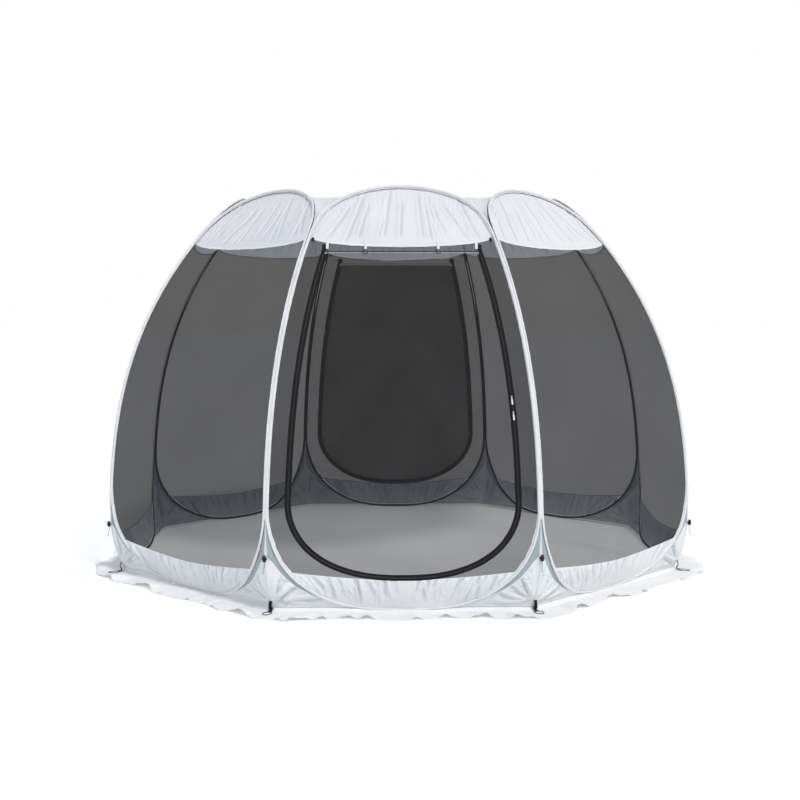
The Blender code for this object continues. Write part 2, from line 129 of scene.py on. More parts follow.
# Folds: how many, and the painted shade down in them (depth that is fully dark, how dark)
BAND_FOLD_SHADE = (0.0032, 0.52)
ROOF_FOLD_SHADE = (0.0030, 0.48)
GUSSET_FOLD_SHADE = (0.0035, 0.44)
LONG_ROOF_FOLDS = 11
SHORT_ROOF_FOLDS = 22
CAP_FOLDS = 110
FAN_FOLDS = 15
CROSS_FOLDS = 12
BAND_FOLD_TOP = 0.215
NET_FOOT = 0.172

PANELS = ["front", "front_right", "right", "rear_right", "rear", "rear_left", "left", "front_left"]
CORNERS = ["front_{}_right", "right_{}_front", "right_{}_rear", "rear_{}_right"]
CORNERS += ["rear_{}_left", "left_{}_rear", "left_{}_front", "front_{}_left"]
DOOR_PANELS = (0, 4)
HOUSE = "screen_house"
UP = np.array([0.0, 0.0, 1.0])


def wall_r(z):
    """Distance from the middle to a panel at this height."""
    z = np.asarray(z, float)
    curve = WALL_R - LEAN * (np.maximum(z, 0.0) / LEAN_Z) ** 3
    return curve - FOOT_TUCK * np.maximum(1 - z / FOOT_Z, 0.0) ** 2


def lean(z):
    return (wall_r(np.asarray(z) + 0.002) - wall_r(np.asarray(z) - 0.002)) / 0.004


def seam_u(z):
    return wall_r(z) * math.tan(HALF)


def axes(turn):
    """(out, across) of what faces this way."""
    out = np.array([math.cos(turn), math.sin(turn), 0.0])
    across = np.array([-math.sin(turn), math.cos(turn), 0.0])
    return out, across


def panel_axes(panel):
    return axes(-math.pi / 2 + 2 * HALF * panel)


def corner_axes(corner):
    return axes(-math.pi / 2 + 2 * HALF * corner + HALF)


def unit(v):
    return v / np.maximum(np.linalg.norm(v, axis=-1, keepdims=True), 1e-12)


def normal_at(panel, z):
    out = panel_axes(panel)[0]
    return unit(out - UP * lean(z)[..., None])


def on_panel(panel, u, z, lift=0.0):
    """Points on a panel from how far across, how high and how far out from it they are."""
    u, z, lift = np.broadcast_arrays(*(np.asarray(a, float) for a in (u, z, lift)))
    out, across = panel_axes(panel)
    flat = out * wall_r(z)[..., None] + across * u[..., None] + UP * z[..., None]
    return flat + normal_at(panel, z) * lift[..., None]


def foot_z(q):
    return FOOT_ARC * (1 - np.sqrt(np.maximum(1 - np.abs(q) ** FOOT_POWER, 0.0)))


def hoop_u(z):
    """Half the width of a hoop at this height."""
    z = np.asarray(z, float)
    full = seam_u(z) - SEAM_GAP
    low = np.clip((FOOT_ARC - z) / FOOT_ARC, 0.0, 1.0)
    rise = np.clip((z - CROWN_Z) / (TOP_Z - CROWN_Z), 0.0, 1.0)
    return full * (1 - low**2) ** (1 / FOOT_POWER) * np.sqrt(1 - rise**CROWN_POWER)


def inner_u(z):
    return hoop_u(z) + EDGE_OUT


def hem_z(u):
    """The roof hem hangs low across the middle of a panel and climbs to each seam."""
    share = np.minimum(np.abs(u) / inner_u(HEM_Z), 1.0)
    return HEM_Z - HEM_DIP * (1 - 0.6 * share**2 - 0.4 * share**8)


# Meshes


def make_mesh(name, points, faces, skins, uv=None, face_skins=None, painted_shade=None):
    """A mesh object from points and a list of arrays of faces, each with one row for a face.

    uv holds one pair for each point, in metres, and the painted shade a value from 0 to 1 for each point.
    """
    mesh = bpy.data.meshes.new(name)
    points = np.asarray(points, float).reshape(-1, 3)
    sizes = np.concatenate([np.full(len(f), f.shape[1]) for f in faces])
    corners = np.concatenate([f.ravel() for f in faces]).astype(np.int32)
    starts = np.concatenate([[0], np.cumsum(sizes)[:-1]]).astype(np.int32)
    mesh.vertices.add(len(points))
    mesh.vertices.foreach_set("co", points.astype(np.float32).ravel())
    mesh.loops.add(len(corners))
    mesh.loops.foreach_set("vertex_index", corners)
    mesh.polygons.add(len(sizes))
    mesh.polygons.foreach_set("loop_start", starts)
    mesh.polygons.foreach_set("use_smooth", np.ones(len(sizes), bool))
    if uv is not None:
        layer = mesh.uv_layers.new(name="UVMap")
        layer.uv.foreach_set("vector", np.asarray(uv, np.float32)[corners].ravel())
    if painted_shade is not None:
        layer = mesh.attributes.new("painted_shade", "FLOAT", "POINT")
        layer.data.foreach_set("value", np.asarray(painted_shade, np.float32).ravel())
    for skin in skins:
        mesh.materials.append(skin)
    if face_skins is not None:
        mesh.polygons.foreach_set("material_index", np.asarray(face_skins, np.int32))
    mesh.update(calc_edges=True)
    mesh.validate()
    obj = bpy.data.objects.new(name, mesh)
    bpy.context.scene.collection.objects.link(obj)
    return obj


def grid_faces(high, wide, wrap=False):
    """Quads of a grid whose point (i, j) is number i * wide + j. wrap closes each row."""
    i, j = np.meshgrid(np.arange(high - 1), np.arange(wide if wrap else wide - 1), indexing="ij")
    a = (i * wide + j).ravel()
    b = (i * wide + (j + 1) % wide).ravel()
    return np.stack([a, b, b + wide, a + wide], axis=1)


def grid_normals(grid, wrap=False):
    up = np.gradient(grid, axis=0)
    if wrap:
        along = np.roll(grid, -1, axis=1) - np.roll(grid, 1, axis=1)
    else:
        along = np.gradient(grid, axis=1)
    return unit(np.cross(along, up))


def grid_uv(grid):
    """Metres along and up a cloth, measured on the cloth itself."""
    along = np.linalg.norm(np.diff(grid, axis=1), axis=2)
    along = np.concatenate([np.zeros((len(grid), 1)), np.cumsum(along, axis=1)], axis=1)
    along -= along.mean(axis=1, keepdims=True)
    up = np.linalg.norm(np.diff(grid, axis=0), axis=2)
    up = np.concatenate([np.zeros((1, grid.shape[1])), np.cumsum(up, axis=0)], axis=0)
    return np.stack([along, up], axis=2).reshape(-1, 2)


def faces_outward(grid, wrap=False):
    """Whether a grid's own normals point out of the house, or up where it lies on the ground."""
    normals = grid_normals(grid, wrap)
    away = grid + UP
    return float((normals * away).sum()) > 0


def single_cloth(name, grid, skin, wrap=False):
    """A see-through cloth, one face thick."""
    high, wide = grid.shape[:2]
    faces = grid_faces(high, wide, wrap)
    if not faces_outward(grid, wrap):
        faces = faces[:, ::-1]
    return make_mesh(name, grid, [faces], [skin], uv=grid_uv(grid))


def double_cloth(name, grid, outer, inner, thick=0.0012, wrap=False, painted_shade=None):
    """A cloth with an outer and an inner face and a closed edge. A ring takes its uv from above."""
    high, wide = grid.shape[:2]
    normals = grid_normals(grid, wrap)
    if not faces_outward(grid, wrap):
        grid = grid[:, ::-1]
        normals = -normals[:, ::-1]
        painted_shade = None if painted_shade is None else painted_shade[:, ::-1]
    points = np.concatenate([grid + normals * thick / 2, grid - normals * thick / 2])
    top = grid_faces(high, wide, wrap)
    under = high * wide
    edges = [np.arange(wide), np.arange(wide)[::-1] + (high - 1) * wide]
    if wrap:
        edges = [np.append(edge, edge[0]) for edge in edges]
    else:
        edges += [np.arange(high)[::-1] * wide, np.arange(high) * wide + wide - 1]
    rims = []
    for edge in edges:
        a, b = edge[:-1], edge[1:]
        rims.append(np.stack([b, a, a + under, b + under], axis=1))
    rims = np.concatenate(rims)
    faces = [top, top[:, ::-1] + under, rims]
    face_skins = np.concatenate([np.zeros(len(top)), np.ones(len(top)), np.zeros(len(rims))])
    uv = grid.reshape(-1, 3)[:, :2] if wrap else grid_uv(grid)
    # Both faces carry the same painted shade.
    painted_shades = None if painted_shade is None else np.concatenate([painted_shade.ravel(), painted_shade.ravel()])
    return make_mesh(name, points, faces, [outer, inner], np.concatenate([uv, uv]), face_skins, painted_shades)


def path_frames(path, lift, closed):
    """(sideways directions, lifts) of a path, with the lifts made square to it."""
    if closed:
        along = np.roll(path, -1, axis=0) - np.roll(path, 1, axis=0)
    else:
        along = np.gradient(path, axis=0)
    along = unit(along)
    lift = unit(lift - along * (lift * along).sum(axis=1, keepdims=True))
    return np.cross(along, lift), lift


def path_lengths(path, closed):
    after = np.roll(path, -1, axis=0) if closed else path[1:]
    steps = np.linalg.norm(after - path[: len(after)], axis=1)
    return np.concatenate([[0], np.cumsum(steps)[: len(path) - 1]])


def sweep(name, path, lift, section, skins, closed=False, section_skins=None):
    """Carries a closed section along a path. section is (points, 2), or one for each place."""
    path = np.asarray(path, float)
    count = len(path)
    section = np.broadcast_to(section, (count,) + np.shape(section)[-2:])
    sides = section.shape[1]
    side, lift = path_frames(path, np.broadcast_to(lift, path.shape), closed)
    points = path[:, None] + side[:, None] * section[..., :1] + lift[:, None] * section[..., 1:]
    rows = count if closed else count - 1
    i, j = np.meshgrid(np.arange(rows), np.arange(sides), indexing="ij")
    a = i * sides + j
    b = i * sides + (j + 1) % sides
    c = (i + 1) % count * sides + (j + 1) % sides
    d = (i + 1) % count * sides + j
    faces = [np.stack([a, b, c, d], axis=2).reshape(-1, 4)]
    around = np.linalg.norm(np.diff(section, axis=1), axis=2)
    around = np.concatenate([np.zeros((count, 1)), np.cumsum(around, axis=1)], axis=1)
    lengths = np.broadcast_to(path_lengths(path, closed)[:, None], around.shape)
    uv = np.stack([lengths, around], axis=2).reshape(-1, 2)
    face_skins = None if section_skins is None else np.tile(section_skins, rows)
    if not closed:
        ends = np.arange(sides)
        faces.append(np.stack([ends[::-1], ends + (count - 1) * sides]))
        face_skins = None if face_skins is None else np.append(face_skins, [0, 0])
    x, y = section[0].T
    if (x * np.roll(y, -1) - np.roll(x, -1) * y).sum() > 0:
        faces = [f[:, ::-1] for f in faces]
    return make_mesh(name, points, faces, skins, uv, face_skins)


def resample(path, step, closed=False):
    """The same line with points about step apart."""
    path = np.asarray(path, float)
    if closed:
        path = np.concatenate([path, path[:1]])
    lengths = path_lengths(path, False)
    count = max(2, int(round(lengths[-1] / step)))
    at = np.linspace(0, lengths[-1], count + 1)
    made = np.stack([np.interp(at, lengths, path[:, k]) for k in range(path.shape[1])], axis=1)
    return made[:-1] if closed else made


def full_turn(count):
    return np.linspace(0, 2 * math.pi, count, endpoint=False)


def ellipse(width, height, sides):
    turn = full_turn(sides)
    return np.stack([width / 2 * np.cos(turn), height / 2 * np.sin(turn)], axis=1)


def rounded_box(width, height, radius, steps=3):
    """The outline of a box with round corners."""
    points = []
    for k, (sx, sy) in enumerate(((1, 1), (-1, 1), (-1, -1), (1, -1))):
        for step in range(steps + 1):
            turn = math.pi / 2 * (k + step / steps)
            x = sx * (width / 2 - radius) + radius * math.cos(turn)
            y = sy * (height / 2 - radius) + radius * math.sin(turn)
            points.append((x, y))
    return np.array(points)


def join(name, objects):
    """One object made of several. The first one's materials come first."""
    for obj in bpy.context.view_layer.objects:
        obj.select_set(False)
    for obj in objects:
        obj.select_set(True)
    bpy.context.view_layer.objects.active = objects[0]
    bpy.ops.object.join()
    objects[0].name = name
    objects[0].data.name = name
    return objects[0]


# Folds in cloth


def fade(x, start, end):
    """0 at start and 1 at end, and held there, with a smooth change between."""
    t = np.clip((np.asarray(x, float) - start) / (end - start), 0, 1)
    return t * t * (3 - 2 * t)


def creases(s, t, lines):
    """Height of soft folds at (s, t). A line is (s0, t0, s1, t1, width, height)."""
    total = np.zeros(np.broadcast(s, t).shape)
    for s0, t0, s1, t1, width, height in lines:
        ds, dt = s1 - s0, t1 - t0
        size = math.hypot(ds, dt)
        along = np.clip(((s - s0) * ds + (t - t0) * dt) / size**2, 0, 1)
        apart = ((s - s0) * dt - (t - t0) * ds) / size
        ridge = np.exp(-((apart / width) ** 2))
        trough = 0.7 * np.exp(-(((apart - 1.6 * width) / (1.2 * width)) ** 2))
        total += height * fade(along, 0.0, 0.16) * fade(along, 1.0, 0.72) * (ridge - trough)
    return total


def fold_shade(folds, depth, most):
    """Painted shade down in the folds: how much darker the coating is made there, from 0 to most."""
    return most * np.clip(-folds / depth, 0, 1)


def ripple(s, t, seed, size, count=9):
    """Smooth unevenness between about -1 and 1, with bumps about this size."""
    random = np.random.default_rng(seed)
    total = np.zeros(np.broadcast(s, t).shape)
    for _ in range(count):
        turn = random.uniform(0, 2 * math.pi)
        pace = 2 * math.pi / (size * random.uniform(0.7, 1.8))
        phase = random.uniform(0, 2 * math.pi)
        total += np.sin(pace * (math.cos(turn) * s + math.sin(turn) * t) + phase)
    return total / math.sqrt(count)


# Materials


class Skin:
    """A Principled material, built up from short calls. Each pattern is placed in metres."""

    def __init__(self, name, color, roughness, **settings):
        self.material = bpy.data.materials.new(name)
        self.material.use_nodes = True
        self.tree = self.material.node_tree
        self.shader = self.tree.nodes["Principled BSDF"]
        self.shader.inputs["Base Color"].default_value = (*color, 1.0)
        self.shader.inputs["Roughness"].default_value = roughness
        for socket, value in settings.items():
            self.shader.inputs[socket.replace("_", " ")].default_value = value
        self.material.diffuse_color = (*color, 1.0)
        self.color = (*color, 1.0)
        places = self.tree.nodes.new("ShaderNodeTexCoord")
        self.object_place = places.outputs["Object"]
        self.uv_place = places.outputs["UV"]
        self.bump = None

    def add(self, kind, inputs=None, **settings):
        node = self.tree.nodes.new("ShaderNode" + kind)
        for key, value in settings.items():
            setattr(node, key, value)
        for key, value in (inputs or {}).items():
            if isinstance(value, bpy.types.NodeSocket):
                self.tree.links.new(value, node.inputs[key])
            else:
                node.inputs[key].default_value = value
        return node

    def math(self, operation, a, b=0.0, c=0.0):
        return self.add("Math", {0: a, 1: b, 2: c}, operation=operation).outputs[0]

    def noise(self, size, detail=2.0, place=None, rough=0.5, distortion=0.0):
        inputs = {"Vector": place or self.object_place, "Scale": 1 / size, "Detail": detail}
        inputs["Roughness"] = rough
        inputs["Distortion"] = distortion
        return self.add("TexNoise", inputs).outputs["Fac"]

    def between(self, value, low, high, start=0.0, end=1.0):
        """value from low to high, spread over start to end and held there."""
        inputs = {"Value": value, 1: low, 2: high, 3: start, 4: end}
        return self.add("MapRange", inputs, interpolation_type="SMOOTHSTEP").outputs["Result"]

    def uv(self, part):
        return self.add("SeparateXYZ", {0: self.uv_place}).outputs[part]

    def wave(self, value, period):
        return self.math("SINE", self.math("MULTIPLY", value, 2 * math.pi / period))

    def weave(self, period):
        """The over and under of a plain weave, from -1 to 1."""
        return self.math("MULTIPLY", self.wave(self.uv(0), period), self.wave(self.uv(1), period))

    def tint(self, factor, color):
        """Mixes another colour over what is there, by a factor from 0 to 1."""
        socket = self.shader.inputs["Base Color"]
        under = socket.links[0].from_socket if socket.links else self.color
        mix = self.add("Mix", data_type="RGBA")
        for place, value in ((0, factor), (6, under), (7, (*color, 1.0))):
            if isinstance(value, bpy.types.NodeSocket):
                self.tree.links.new(value, mix.inputs[place])
            else:
                mix.inputs[place].default_value = value
        self.tree.links.new(mix.outputs[2], socket)
        return self

    def raise_by(self, height, distance, strength=1.0):
        inputs = {"Height": height, "Distance": distance, "Strength": strength}
        if self.bump:
            inputs["Normal"] = self.bump
        self.bump = self.add("Bump", inputs).outputs["Normal"]
        self.tree.links.new(self.bump, self.shader.inputs["Normal"])
        return self

    def rough_by(self, value, low, high):
        self.tree.links.new(self.between(value, 0.0, 1.0, low, high), self.shader.inputs["Roughness"])
        return self


STITCH_PITCH = 0.0060
STITCH_HALF = 0.0010


def stitch_row(skin, at):
    """1 on the stitches of a seam that runs along a strip at this distance across it."""
    apart = skin.math("ABSOLUTE", skin.math("SUBTRACT", skin.uv(1), at))
    near = skin.between(apart, STITCH_HALF, STITCH_HALF * 1.6, 1.0, 0.0)
    dash = skin.between(skin.wave(skin.uv(0), STITCH_PITCH), -0.35, 0.0)
    return skin.math("MULTIPLY", near, dash)


def cloth_skin(name, color, shade, roughness=0.58, crumple=1.0, fold_shade_color=None, dust=0.35):
    """Coated polyester: a fine weave, soft crumples, faint clouds, painted shade in the folds and dust near
    the ground.
    """
    skin = Skin(name, color, roughness, Specular_IOR_Level=0.42, Sheen_Weight=0.12, Sheen_Roughness=0.4)
    clouds = skin.noise(0.35, 3.0)
    skin.tint(skin.between(clouds, 0.35, 0.72, 0.0, 0.45), shade)
    # Painted shade, by an attribute on the mesh: darker down in the folds and in the strip along each gusset
    # sleeve.
    painted_shade = skin.add("Attribute", attribute_name="painted_shade").outputs["Fac"]
    skin.tint(skin.math("MULTIPLY", painted_shade, 0.9), fold_shade_color or tuple(0.66 * c for c in shade))
    height = skin.add("SeparateXYZ", {0: skin.object_place}).outputs[2]
    soil = skin.math("MULTIPLY", skin.between(height, 0.0, 0.16, dust, 0.0), skin.noise(0.07, 4.0))
    skin.tint(soil, (0.58, 0.55, 0.50))
    skin.rough_by(skin.noise(0.12, 3.0), roughness - 0.08, roughness + 0.1)
    wrinkle = skin.noise(0.085, 2.0, rough=0.45, distortion=0.9)
    wrinkle = skin.math("ABSOLUTE", skin.math("SUBTRACT", wrinkle, 0.5))
    skin.raise_by(wrinkle, -0.012 * crumple, 0.55)
    skin.raise_by(skin.noise(0.016, 2.0, distortion=0.4), 0.0012 * crumple, 0.5)
    skin.raise_by(skin.weave(0.0011), 0.00012, 0.5)
    return skin.material


KNIT_HOLE = 0.0032
KNIT_PATCH = 0.022


def netting_skin(name, color, cover, swing=0.05):
    """Knitted mesh that lets some of the light straight through."""
    skin = Skin(name, color, 0.85, Specular_IOR_Level=0.08)
    slant_a = skin.math("ADD", skin.uv(0), skin.uv(1))
    slant_b = skin.math("SUBTRACT", skin.uv(0), skin.uv(1))
    holes = skin.math("MULTIPLY", skin.wave(slant_a, KNIT_HOLE), skin.wave(slant_b, KNIT_HOLE))
    knit = skin.math("MULTIPLY", skin.wave(slant_a, KNIT_PATCH), skin.wave(slant_b, KNIT_PATCH))
    clouds = skin.noise(0.5, 2.0, place=skin.uv_place)
    alpha = skin.math("MULTIPLY_ADD", holes, swing, cover)
    alpha = skin.math("ADD", alpha, skin.math("MULTIPLY", knit, 0.008))
    alpha = skin.math("ADD", alpha, skin.between(clouds, 0.3, 0.7, -0.01, 0.01))
    skin.tree.links.new(alpha, skin.shader.inputs["Alpha"])
    skin.tint(skin.between(holes, -0.4, 0.8, 0.0, 0.5), tuple(1.6 * c for c in color))
    skin.raise_by(holes, 0.00025, 0.6)
    return skin.material


WEBBING_ROUGHNESS = 0.68


def webbing_skin(name, color, thread, rows=(), period=0.0016, gloss=0.35, sheen=0.12):
    """Woven tape with ribs across it, painted shade in the grooves between them, and rows of stitches along
    it.
    """
    skin = Skin(name, color, WEBBING_ROUGHNESS, Specular_IOR_Level=gloss, Sheen_Weight=sheen)
    skin.tint(skin.between(skin.noise(0.09, 3.0), 0.35, 0.75, 0.0, 0.5), tuple(0.84 * c for c in color))
    ribs = skin.wave(skin.uv(0), period)
    # Painted shade in the grooves between the ribs.
    skin.tint(skin.between(ribs, -1.0, 0.2, 0.35, 0.0), tuple(0.7 * c for c in color))
    skin.raise_by(ribs, 0.0002, 0.6)
    for at in rows:
        row = stitch_row(skin, at)
        skin.tint(skin.math("MULTIPLY", row, 0.75), thread)
        skin.raise_by(row, 0.0006, 0.7)
    skin.raise_by(skin.noise(0.02, 2.0), 0.0012, 0.5)
    return skin.material


def plastic_skin(name, color, roughness):
    """Moulded plastic: a fine grain, with paler scuffs."""
    skin = Skin(name, color, roughness, Specular_IOR_Level=0.5)
    scuffs = skin.noise(0.006, 4.0, rough=0.7)
    skin.tint(skin.between(scuffs, 0.58, 0.75, 0.0, 0.5), tuple(c + 0.06 for c in color))
    skin.rough_by(skin.noise(0.01, 3.0), roughness - 0.1, roughness + 0.12)
    skin.raise_by(skin.noise(0.0012, 2.0), 0.00008, 0.6)
    return skin.material


def steel_skin():
    """Drawn spring wire: long fine scratches and a few dull spots."""
    skin = Skin("spring_steel", (0.36, 0.37, 0.38), 0.32, Metallic=1.0)
    skin.tint(skin.between(skin.noise(0.03, 4.0), 0.55, 0.8, 0.0, 0.6), (0.2, 0.19, 0.18))
    skin.rough_by(skin.noise(0.02, 4.0), 0.22, 0.5)
    skin.raise_by(skin.noise(0.0008, 2.0), 0.00005, 0.5)
    return skin.material


SILVER = cloth_skin("silver_cloth", (0.765, 0.77, 0.795), (0.65, 0.675, 0.72))
UNDERSIDE = cloth_skin("roof_underside", (0.70, 0.735, 0.79), (0.58, 0.62, 0.68), 0.7)
BAND = cloth_skin("band_cloth", (0.80, 0.82, 0.84), (0.68, 0.72, 0.76), crumple=1.4)
BAND_INSIDE = cloth_skin("band_inside", (0.26, 0.29, 0.32), (0.20, 0.23, 0.26), 0.7)
GROUND = cloth_skin("skirt_cloth", (0.94, 0.945, 0.95), (0.87, 0.885, 0.90), 0.62, crumple=1.6, dust=0.12)
# The gusset's painted shade is dark grey-green: in its folds and in the strip along each sleeve.
GUSSET = cloth_skin(
    "gusset_cloth", (0.81, 0.83, 0.85), (0.68, 0.73, 0.77), crumple=1.4, fold_shade_color=(0.30, 0.37, 0.385)
)
INK = (0.016, 0.016, 0.017)
NETTING = netting_skin("wall_netting", INK, 0.69)
SURROUND_NET = netting_skin("surround_netting", INK, 0.765)
DOOR_NET = netting_skin("front_door_netting", (0.016, 0.015, 0.016), 0.70)
DENSE_NET = netting_skin("rear_door_netting", (0.014, 0.013, 0.014), 0.94, 0.03)
SLEEVE = webbing_skin("sleeve_binding", (0.84, 0.85, 0.865), (0.36, 0.39, 0.43), rows=(SLEEVE_STITCH,))
BINDING = webbing_skin("hem_binding", (0.90, 0.905, 0.91), (0.66, 0.68, 0.70), rows=(0.003, 0.013))
SOOT = (0.016, 0.016, 0.018)
LINING = webbing_skin("seam_lining", SOOT, (0.05, 0.05, 0.05), (0.003,), gloss=0.12, sheen=0.0)
STRAP = webbing_skin("white_webbing", (0.86, 0.86, 0.84), (0.6, 0.6, 0.6), rows=(0.003,))
BLACK_STRAP = webbing_skin("black_webbing", SOOT, (0.06, 0.06, 0.06), (0.003,), gloss=0.15, sheen=0.0)
TAPE = webbing_skin(
    "zip_tape", (0.014, 0.014, 0.015), (0.05, 0.05, 0.05), (0.004, 0.012), 0.0012, gloss=0.12, sheen=0.0
)
CORD = webbing_skin("grey_cord", (0.22, 0.23, 0.24), (0.2, 0.2, 0.2), period=0.0022)
COIL = plastic_skin("zip_coil", (0.020, 0.020, 0.022), 0.46)
PLASTIC = plastic_skin("black_plastic", (0.020, 0.020, 0.022), 0.42)
PULL = plastic_skin("pull_plastic", (0.74, 0.74, 0.75), 0.34)
STEEL = steel_skin()


# Working out the cut of a cloth, and placing it


SEAM_ALLOWANCE = 0.012
# A cloth that measures less is given this share instead, so its area comes out too large. That is so for the
# two nettings round the doors.
LEAST_SHARE = 0.31


def grid_area(grid):
    a, b, c, d = grid[:-1, :-1], grid[:-1, 1:], grid[1:, 1:], grid[1:, :-1]
    return np.linalg.norm(np.cross(c - a, d - b), axis=2).sum() / 2


def cut_of(grid, wrap=False, high=None):
    """((width, length), area) of the flat cloth that a grid was cut from, seams and all.

    high is the length where the grid's columns run slantwise. The area is never given as less than
    LEAST_SHARE of the rectangle.
    """
    if wrap:
        grid = np.concatenate([grid, grid[:, :1]], axis=1)
    rows = np.linalg.norm(np.diff(grid, axis=1), axis=2).sum(axis=1)
    columns = np.linalg.norm(np.diff(grid, axis=0), axis=2).sum(axis=0)
    width = rows.max() + 2 * SEAM_ALLOWANCE
    length = (high or columns.max()) + 2 * SEAM_ALLOWANCE
    area = grid_area(grid)
    area += SEAM_ALLOWANCE * (rows[0] + rows[-1] + columns[0] + columns[-1])
    area = max(area, LEAST_SHARE * width * length)
    return (float(width), float(length)), float(min(area, width * length))


def hang(obj, grid, body=HOUSE, replaces=(), wrap=False, high=None):
    """Puts a cloth on its body. It works out what the cloth was cut from, but nothing uses that."""
    flat, area = cut_of(grid, wrap, high)
    placed(obj, body, replaces)
    return obj


def placed(obj, body=HOUSE, replaces=()):
    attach(obj, body)
    if replaces:
        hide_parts(*replaces)
    return obj


# Lines that the cloths are cut along


def crown_half():
    """(u, z) of a hoop's crown from the seam to the middle."""
    turn = np.linspace(0.0, 1.0, 120) ** 1.6 * math.pi / 2
    z = CROWN_Z + (TOP_Z - CROWN_Z) * np.sin(turn) ** (2 / CROWN_POWER)
    return np.cos(turn) * (seam_u(z) - SEAM_GAP), z


def hoop_half():
    """(u, z) of a hoop's wire, from the middle of its foot to the middle of its crown."""
    turn = np.linspace(0.0, math.pi / 2, 120)
    foot = FOOT_ARC * (1 - np.cos(turn))
    foot_u = np.sin(turn) ** (1 / 1.4) * (seam_u(foot) - SEAM_GAP)
    side = np.linspace(FOOT_ARC, CROWN_Z, 60)[1:-1]
    crown_u, crown = crown_half()
    u = np.concatenate([foot_u, seam_u(side) - SEAM_GAP, crown_u])
    return u, np.concatenate([foot, side, crown])


def hoop_loop(panel, step):
    """The closed line of a hoop's wire. It runs up the right-hand side, seen from outside."""
    u, z = hoop_half()
    u, z = np.concatenate([u, -u[-2:0:-1]]), np.concatenate([z, z[-2:0:-1]])
    return resample(on_panel(panel, u, z, WIRE_LIFT) + UP * WIRE_FOOT, step, closed=True)


def net_u(z):
    """Half the width of the cloth inside a hoop, which ends under the sleeve."""
    return hoop_u(np.maximum(np.asarray(z, float) - WIRE_FOOT, 0.0)) + EDGE_OUT


def door_half(amount=0.0, top=DOOR_TOP):
    """(u, z) along a zip from the middle of its foot to the top at the right, moved out by amount."""
    turn = np.linspace(0.0, math.pi / 2, 90)
    low = DOOR_FOOT + DOOR_ARC * (1 - np.cos(turn))
    z = np.concatenate([low, np.linspace(low[-1], top, 70)[1:]])
    u = np.concatenate([np.sin(turn) ** (1 / 1.2), np.ones(69)]) * (seam_u(z) - DOOR_INSET)
    stretch = np.sqrt(1 + lean(z) ** 2)
    du, dw = np.gradient(u), np.gradient(z) * stretch
    dw[0] = 0.0
    size = np.hypot(du, dw)
    return np.maximum(u + amount * dw / size, 0.0), z - amount * du / size / stretch


def across_to(line, count):
    """A line of (u, z) with this many points, evenly spaced."""
    line = np.stack(line, axis=1)
    lengths = path_lengths(line, False)
    at = np.linspace(0, lengths[-1], count)
    return np.interp(at, lengths, line[:, 0]), np.interp(at, lengths, line[:, 1])


# Hoops: the spring wire, its sleeve, and the dark tape behind the seam


def make_hoop(panel):
    name = PANELS[panel]
    path = hoop_loop(panel, HOOP_STEP)
    z = path[:, 2]
    out = normal_at(panel, z - WIRE_FOOT)
    wire = sweep(name + "_spring_wire", path, out, ellipse(WIRE_THICK, WIRE_THICK, 8), [STEEL], closed=True)
    placed(wire, replaces=[name + "_hoop"])

    flange = FLANGE_SIDE + FLANGE_FOOT * fade(z, 0.55, 0.38) + FLANGE_CROWN * fade(z, 1.97, 2.04)
    turn = np.radians(np.linspace(-110, 226, 15))
    along = path_lengths(path, True)[:, None]
    swell = 1 + 0.085 * ripple(along, turn * SLEEVE_WIDE / 2, 40 + panel, 0.026, 14)
    x = SLEEVE_WIDE / 2 * np.cos(turn) * swell
    y = SLEEVE_HIGH / 2 * np.sin(turn) * swell
    tube = np.stack([x, y], axis=2)
    edge = -SLEEVE_WIDE / 2 - flange * (1 + 0.12 * ripple(along, 0.0, 60 + panel, 0.05)[:, 0])
    lap = []
    for share, height in ((0.5, -0.0040), (1.0, -0.0043), (1.0, -0.0054), (0.5, -0.0055)):
        side = edge * share - SLEEVE_WIDE / 2 * (1 - share)
        lap.append(np.stack([side, np.full(len(z), height)], axis=1))
    section = np.concatenate([tube, np.stack(lap, axis=1)], axis=1)
    placed(sweep(name + "_sleeve", path, out, section, [SLEEVE], closed=True))

    x, y = rounded_box(*SEAM_TAPE).T
    tape = np.stack([x - 0.0012, y - WIRE_LIFT - 0.0019], axis=1)
    placed(sweep(name + "_seam_tape", path, out, tape, [LINING], closed=True))


# Walls, bands and doors


def make_net(panel):
    share = np.linspace(-1, 1, 61)
    rise = np.linspace(0, 1, 57)[:, None] ** 1.15
    top = hem_z(share * inner_u(HEM_Z)) + NET_LAP
    foot = band_top(share * BAND_END) - BAND_LAP
    z = foot + (top - foot) * rise
    u = share * net_u(z)
    lift = 0.0022 * ripple(u, z, 20 + panel, 0.45) * (1 - share**6)
    lift = lift * fade(z, 0.26, 0.50) * fade(z, 1.92, 1.70)
    behind = BEHIND_BAND * fade(rise, 0.05, 0.0) + BEHIND_HEM * fade(z, 1.86, 1.92)
    grid = on_panel(panel, u, z, lift - behind)
    name = PANELS[panel]
    obj = single_cloth(name + "_netting", grid, NETTING)
    return hang(obj, grid, replaces=[name + "_wall"])


